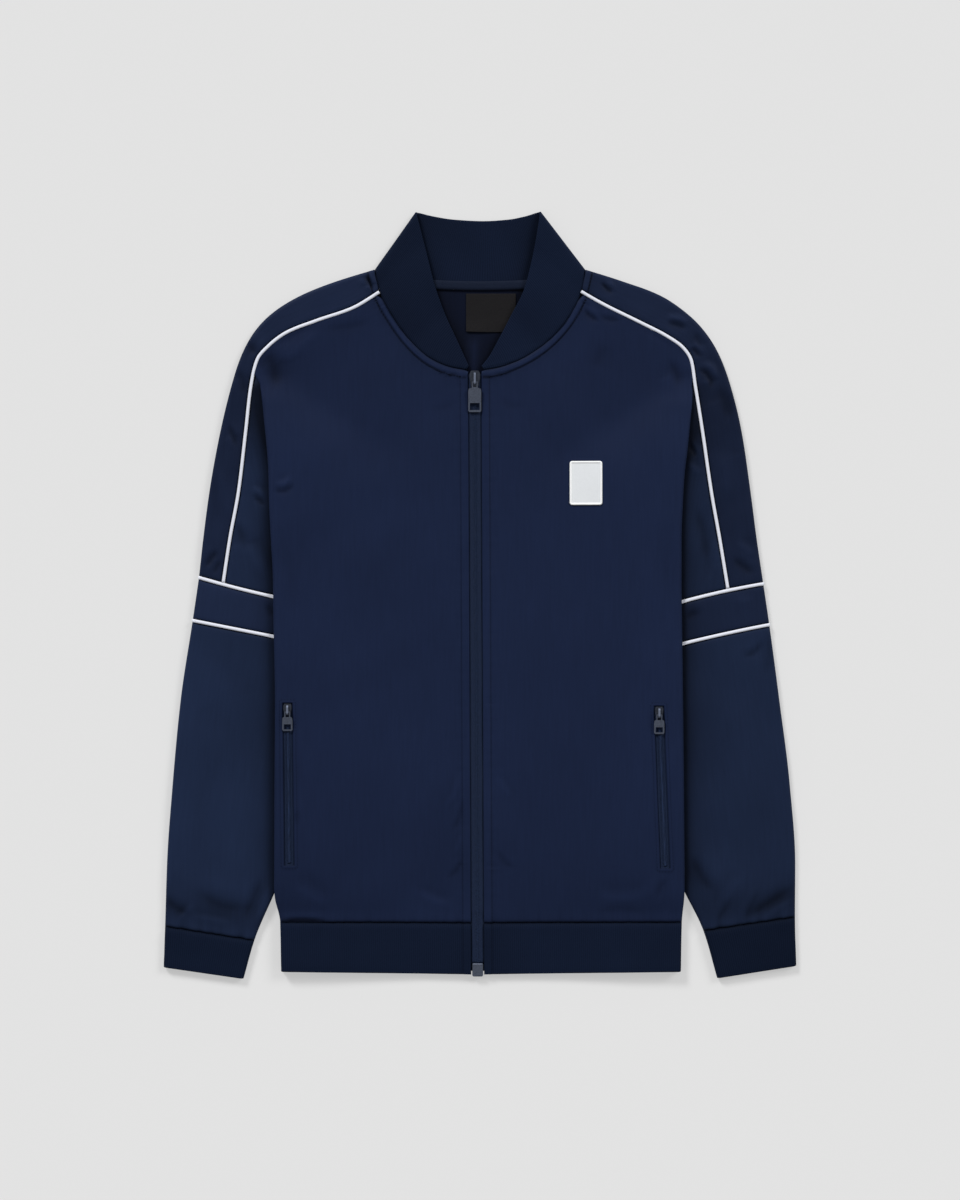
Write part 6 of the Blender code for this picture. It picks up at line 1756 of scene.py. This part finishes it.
# One turn of a coil, and the cord under the turns. Columns: across, as a share of the coil's half width; height, as
# a share of the coil's; and the turn's thickness
COIL_TURN = ((1.0, 0.22, 0.8), (0.86, 0.74, 1.0), (0.3, 0.86, 1.0), (-0.16, 0.8, 1.25), (-0.34, 0.62, 0.8))
COIL_CORD = ((-0.7, 0.0), (-0.7, 0.3), (-0.4, 0.5), (0.4, 0.5), (0.7, 0.3), (0.7, 0.0))


def coil_teeth(name, x_at, floor_at, top, bottom, half, high, pitch, material):
    """The coil's turns, which meet in the middle in turn from both sides, on a flat cord."""
    ring = np.linspace(0, 2 * math.pi, 6, endpoint=False)
    bodies = []
    for k in range(int((top - bottom) / pitch)):
        for sign in (-1, 1):
            y = top - (k + (0.25 if sign > 0 else 0.75)) * pitch
            x, z = x_at(y), floor_at(y)
            body = []
            for across, up, fat in COIL_TURN:
                centre = np.array((x + sign * half * across, y, z + high * up))
                radius_y, radius_z = pitch * 0.235 * fat, high * 0.2 * fat
                body.append([centre + (0.0, radius_y * math.cos(a), radius_z * math.sin(a)) for a in ring])
            body = np.array(body)
            bodies.append(body if sign < 0 else body[:, ::-1])
    teeth = many(name, bodies, material)
    cord = [[(x_at(y) + half * u, y, floor_at(y) + high * v) for u, v in COIL_CORD]
            for y in spread(60, top, bottom)]
    core = tube(name + "_core", cord, material)
    with bpy.context.temp_override(active_object=teeth, selected_editable_objects=[teeth, core]):
        bpy.ops.object.join()
    return teeth


def build_front_zip():
    for side in SIDES:
        xs = between(0.1, TAPE_HALF, 1.0, (0.0, 0.3, 0.8))
        rows = [[(zip_x(y) + SIGN[side] * x, y, zip_floor(y)) for x in xs]
                for y in -between(TAPE_BELOW_TOP - ZIP_TOP, -BOX_TOP, STEP)]

        def tape_shape(g, n, a):
            ridge = 1.05 * smooth((6.4 - a["first"]) / 1.6)
            # Painted shadow along the line where the front's edge lies over the tape
            return ridge, 0.0, -0.55 * np.exp(-((a["first"] - ZIP_CHANNEL) / 0.9) ** 2)

        obj = shell("cloth_zip_tape_" + side, rows, TAPE_THICK, LOOKS["zip_tape"], flip=side == "left",
                    shape=tape_shape, grain="plan", borders=[("first", 0.3, False, 0.0)])
        declare(obj, "zip_tape_" + side)
    coil = coil_teeth("trim_zip_coil", zip_x, coil_floor, ZIP_TOP - COIL_BELOW_TOP, BOX_TOP + COIL_ABOVE_BOX,
                      COIL_HALF, COIL_HIGH, COIL_PITCH, LOOKS["coil"])
    add_trim(coil, "coil", "zip_coil")


def build_pockets():
    for side in SIDES:
        spot = POCKET[side]
        top, bottom = spot["top"] + POCKET_TAPE_PAST, spot["bottom"] - POCKET_TAPE_PAST
        rows = []
        for y in -between(-top, -bottom, STEP):
            xs = [pocket_x(side, y) + u for u in spread(19, -POCKET_TAPE_HALF, POCKET_TAPE_HALF)]
            rows.append([place(side, x, y, front_high(side, x, y) - CLOTH - POCKET_UNDER) for x in xs])

        def tape_shape(g, n, a):
            # The tape is painted a tenth lighter: painted light, as it lies sunk under the cloth
            return 0.5 * smooth((np.minimum(a["first"], a["last"]) - 2.9) / 0.8), 0.0, 0.1

        obj = shell("cloth_pocket_tape_" + side, rows, TAPE_THICK, LOOKS["zip_tape"], flip=side == "left",
                    shape=tape_shape, grain="plan")
        declare(obj, "pocket_tape_" + side)
        x_at = lambda y: SIGN[side] * pocket_x(side, y)
        floor_at = lambda y: (front_high(side, pocket_x(side, y) + POCKET_COIL_HALF, y) - CLOTH - POCKET_UNDER
                              + POCKET_COIL_LIFT)
        coil = coil_teeth("trim_pocket_coil_" + side, x_at, floor_at, spot["top"] - POCKET_COIL_SHORT,
                          spot["bottom"] + POCKET_COIL_SHORT, POCKET_COIL_HALF, POCKET_COIL_HIGH,
                          POCKET_COIL_PITCH, LOOKS["pocket_coil"])
        add_trim(coil, "coil", "pocket_coil_" + side)


BRIDGE_ABOVE = 0.0031  # from a slider's plate to the top of its bridge, in metres


def build_hardware():
    for name, obj in frame["nodes"].items():
        if name in ("zip_slider", "zip_pull", "zip_box") or name.startswith(("pocket_slider", "pocket_pull")):
            look = LOOKS["hardware"]
            # Sliders get painted shade low on the plate and a painted highlight on the bridge, by height
            if "slider" in name:
                crown = max(v.co.z for v in obj.data.vertices)
                look = metal("hardware_" + name, METAL, plate=crown - BRIDGE_ABOVE, crown=crown)
            obj.data.materials.clear()
            obj.data.materials.append(look)
            bevel = obj.modifiers.new("Worn edges", "BEVEL")
            bevel.width, bevel.segments, bevel.limit_method = 0.00022, 2, "ANGLE"
            bevel.angle_limit = math.radians(28.0)


class Ground:
    """The upper faces of some pieces, to lay threads on."""

    def __init__(self, *names):
        meshes = [bpy.data.objects[name].data for name in names]
        self.trees = [BVHTree.FromPolygons([v.co for v in mesh.vertices], [p.vertices for p in mesh.polygons])
                      for mesh in meshes]

    def high(self, x, y):
        """Height in millimetres of the highest face above this place."""
        hits = [tree.ray_cast((x * MM, y * MM, 0.05), (0, 0, -1)) for tree in self.trees]
        levels = [hit[0].z for hit in hits if hit[0] is not None]
        return max(levels) / MM if levels else None


def stitches(name, lines, ground, material, slot, long=2.5, gap=0.7, thick=0.30):
    """Stitches laid end to end along lines on the ground. Each dips into the cloth at its ends."""
    ring = np.linspace(0, 2 * math.pi, 6, endpoint=False)
    bodies = []
    for line in lines:
        line = np.asarray(line, float)
        run = lengths(line)
        count = int(run[-1] / (long + gap))
        for k in range(count):
            a = (k + 0.5) * (long + gap) - long / 2
            at = np.array([a, a + long * 0.25, a + long * 0.75, a + long])
            if len(line) > 2:
                places = hermite(run, line, at)
            else:
                places = line[0] + (line[1] - line[0]) * (at[:, None] / run[-1])
            level = ground.high(*places[1])
            other = ground.high(*places[2])
            if level is None or other is None or abs(level - other) > 0.6:
                continue
            way = unit(places[3] - places[0])
            across = np.array((-way[1], way[0], 0.0))
            body = []
            heights = level - 0.18, level + 0.06, other + 0.06, other - 0.18
            for (x, y), z, fat in zip(places, heights, (0.5, 1.0, 1.0, 0.5)):
                centre, radius = np.array((x, y, z)), thick * fat
                body.append([centre + across * radius * math.cos(t) + (0.0, 0.0, radius * math.sin(t))
                             for t in ring])
            bodies.append(body)
    add_trim(many(name, bodies, material), slot)


def build_stitching():
    for side in SIDES:
        sign = SIGN[side]
        ground = Ground("cloth_front_" + side, "cloth_stripe_" + side, "cloth_hem_rib_" + side)
        neck, neck_end = ([(sign * p[0], p[1]) for p in (neck_seam(side, s, NECK_STITCH + 0.2) for s in shares)]
                          for shares in (spread(60, 0.02, 0.8), spread(20, 0.8, 0.985)))
        edge = [(sign * (ZIP_CHANNEL + ZIP_STITCH + sign * zip_x(y)), y) for y in spread(40, 216.0, HEM_END)]
        top, bottom = POCKET[side]["top"] + POCKET_STITCH, POCKET[side]["bottom"] - POCKET_STITCH
        wide = POCKET_HALF + POCKET_STITCH
        corners = (-wide, top), (wide, top), (wide, bottom), (-wide, bottom), (-wide, top)
        box = [(sign * (pocket_x(side, y) + off), y) for off, y in corners]
        stitches("stitching_neck_" + side, [neck], ground, LOOKS["thread"], "body_tricot")
        # Near the zip the stitches lie close and thick: a dark line that is real stitching and a painted shadow
        # below the collar's seam
        stitches("stitching_and_painted_shadow_neck_end_" + side, [neck_end], ground, LOOKS["thread"], "body_tricot", 2.6, 0.15, 0.5)
        lines = [edge] + [np.array([box[i], box[i + 1]]) for i in range(4)]
        stitches("stitching_front_" + side, lines, ground, LOOKS["thread"], "body_tricot", 1.3, 1.8, 0.26)


PATCH_THICK, RIM_WIDE, RIM_HIGH, RIM_LOOPS = 1.1, 1.8, 0.5, 7
# The patch from its edge inwards. Columns: distance from the edge; height.
PATCH_RISE = (
    (0.0, 0.1), (0.0, PATCH_THICK * 0.6), (0.12, PATCH_THICK * 0.9), (0.4, PATCH_THICK + RIM_HIGH * 0.8),
    (0.9, PATCH_THICK + RIM_HIGH), (RIM_WIDE - 0.4, PATCH_THICK + RIM_HIGH * 0.95),
    (RIM_WIDE, PATCH_THICK + RIM_HIGH * 0.4), (RIM_WIDE + 0.25, PATCH_THICK), (3.2, PATCH_THICK - 0.02),
    (6.0, PATCH_THICK), (10.0, PATCH_THICK), (13.0, PATCH_THICK),
)


def patch_loop(inset):
    """Places all round the patch, this far inside its outline."""
    half_w, half_t = PATCH_WIDE / 2 - inset, PATCH_TALL / 2 - inset
    corner = max(PATCH_CORNER - inset, 0.4)

    def on_corner(quarter, turned):
        sx, sy = ((1, 1), (-1, 1), (-1, -1), (1, -1))[quarter % 4]
        angle = math.pi / 2 * (quarter + turned)
        return np.array((PATCH_X + sx * (half_w - corner) + corner * math.cos(angle),
                         PATCH_Y + sy * (half_t - corner) + corner * math.sin(angle)))

    loop = []
    for quarter in range(4):
        loop += [on_corner(quarter, step / 6) for step in range(7)]
        start, end = loop[-1], on_corner(quarter + 1, 0)
        loop += [start + (end - start) * f for f in spread(12)[1:-1]]
    return loop


def build_patch():
    """A woven patch with a raised rim, its border sewn down all round."""
    loops = np.array([[(x, y, front_high("left", x, y) + high) for x, y in patch_loop(inset)]
                      for inset, high in PATCH_RISE])
    flat = loops.reshape(-1, 3)[:, :2]
    ground = Ground("cloth_front_left")
    for loop in loops:
        for point in loop:
            level = ground.high(point[0], point[1])
            point[2] += (level - front_high("left", point[0], point[1])) * 0.9
    obj = tube("cloth_chest_patch", loops, LOOKS["patch"])
    corners = np.zeros(len(obj.data.loops), np.int32)
    obj.data.loops.foreach_get("vertex_index", corners)
    obj.data.uv_layers[0].data.foreach_set("uv", (flat[corners] * MM).astype(np.float32).ravel())
    obj.data.materials.append(LOOKS["patch_rim"])
    slots = np.zeros(len(obj.data.polygons), np.int32)
    slots[:RIM_LOOPS * loops.shape[1]] = 1
    obj.data.polygons.foreach_set("material_index", slots)
    FLAT_CUTS[obj.name] = (PATCH_WIDE, PATCH_TALL, PATCH_WIDE * PATCH_TALL)
    declare(obj, "chest_patch")


# ------------------------------------------------------------------------------------------------ stage


# A paper floor that is lit from below as well, so that it shows hardly any shadow. Metres
FLOOR_HALF, FLOOR_LEVEL = 24.0, -0.0004
FLOOR_PALE, FLOOR_SHOWN, FLOOR_GLOW = 0.80, 0.766, 0.55
WORLD_LIGHT = 0.33
# Large soft lights: where each comes from, in degrees from +X towards +Y and above the floor, its strength, and
# how wide it is
LIGHTS = (
    ("key", 122.0, 32.0, 2.35, 16.0),
    ("fill", 38.0, 32.0, 1.35, 22.0),
)
CAMERA_BACK, CAMERA_HIGH, FOCAL, SENSOR = -0.005, 3.01, 90.0, 36.0


def build_stage():
    floor = bpy.data.meshes.new("floor")
    corners = [(x * FLOOR_HALF, y * FLOOR_HALF, FLOOR_LEVEL) for x, y in ((-1, -1), (1, -1), (1, 1), (-1, 1))]
    floor.from_pydata(corners, [], [(0, 1, 2, 3)])
    obj = linked("floor", floor)
    m = Nodes("floor_paper", (FLOOR_PALE * (1 - FLOOR_GLOW),) * 3, 0.9, Specular_IOR_Level=0.0)
    m.shader.inputs["Emission Color"].default_value = (1.0, 1.0, 1.0, 1.0)
    m.shader.inputs["Emission Strength"].default_value = FLOOR_SHOWN * FLOOR_GLOW
    m.mixed(m.noise((6.0, 6.0, 6.0), uv=False), 0.995, 1.005)
    floor.materials.append(m.material)

    world = bpy.data.worlds.new("studio")
    world.use_nodes = True
    world.node_tree.nodes["Background"].inputs["Color"].default_value = (1.0, 1.0, 1.0, 1.0)
    world.node_tree.nodes["Background"].inputs["Strength"].default_value = WORLD_LIGHT
    bpy.context.scene.world = world
    for name, azimuth, elevation, strength, soft in LIGHTS:
        lamp = bpy.data.lights.new(name, "SUN")
        lamp.energy, lamp.angle = strength, math.radians(soft)
        made = linked(name, lamp)
        made.rotation_euler = (math.radians(90.0 - elevation), 0.0, math.radians(azimuth - 90.0) + math.pi)
        made.location = (0.0, 0.0, 2.0)


def build_camera():
    camera = bpy.data.cameras.new("camera")
    camera.sensor_fit, camera.sensor_height, camera.lens = "VERTICAL", SENSOR, FOCAL
    camera.clip_start, camera.clip_end = 0.05, 50.0
    obj = linked("camera", camera)
    obj.location = (0.0, CAMERA_BACK, CAMERA_HIGH)
    bpy.context.scene.camera = obj
    bpy.context.scene.view_settings.view_transform = "Standard"


def main():
    build_back()
    build_hem()
    build_sleeves()
    build_fronts()
    build_collar()
    build_neck()
    build_piping()
    build_front_zip()
    build_pockets()
    build_hardware()
    build_stitching()
    build_patch()
    build_stage()
    build_camera()


main()
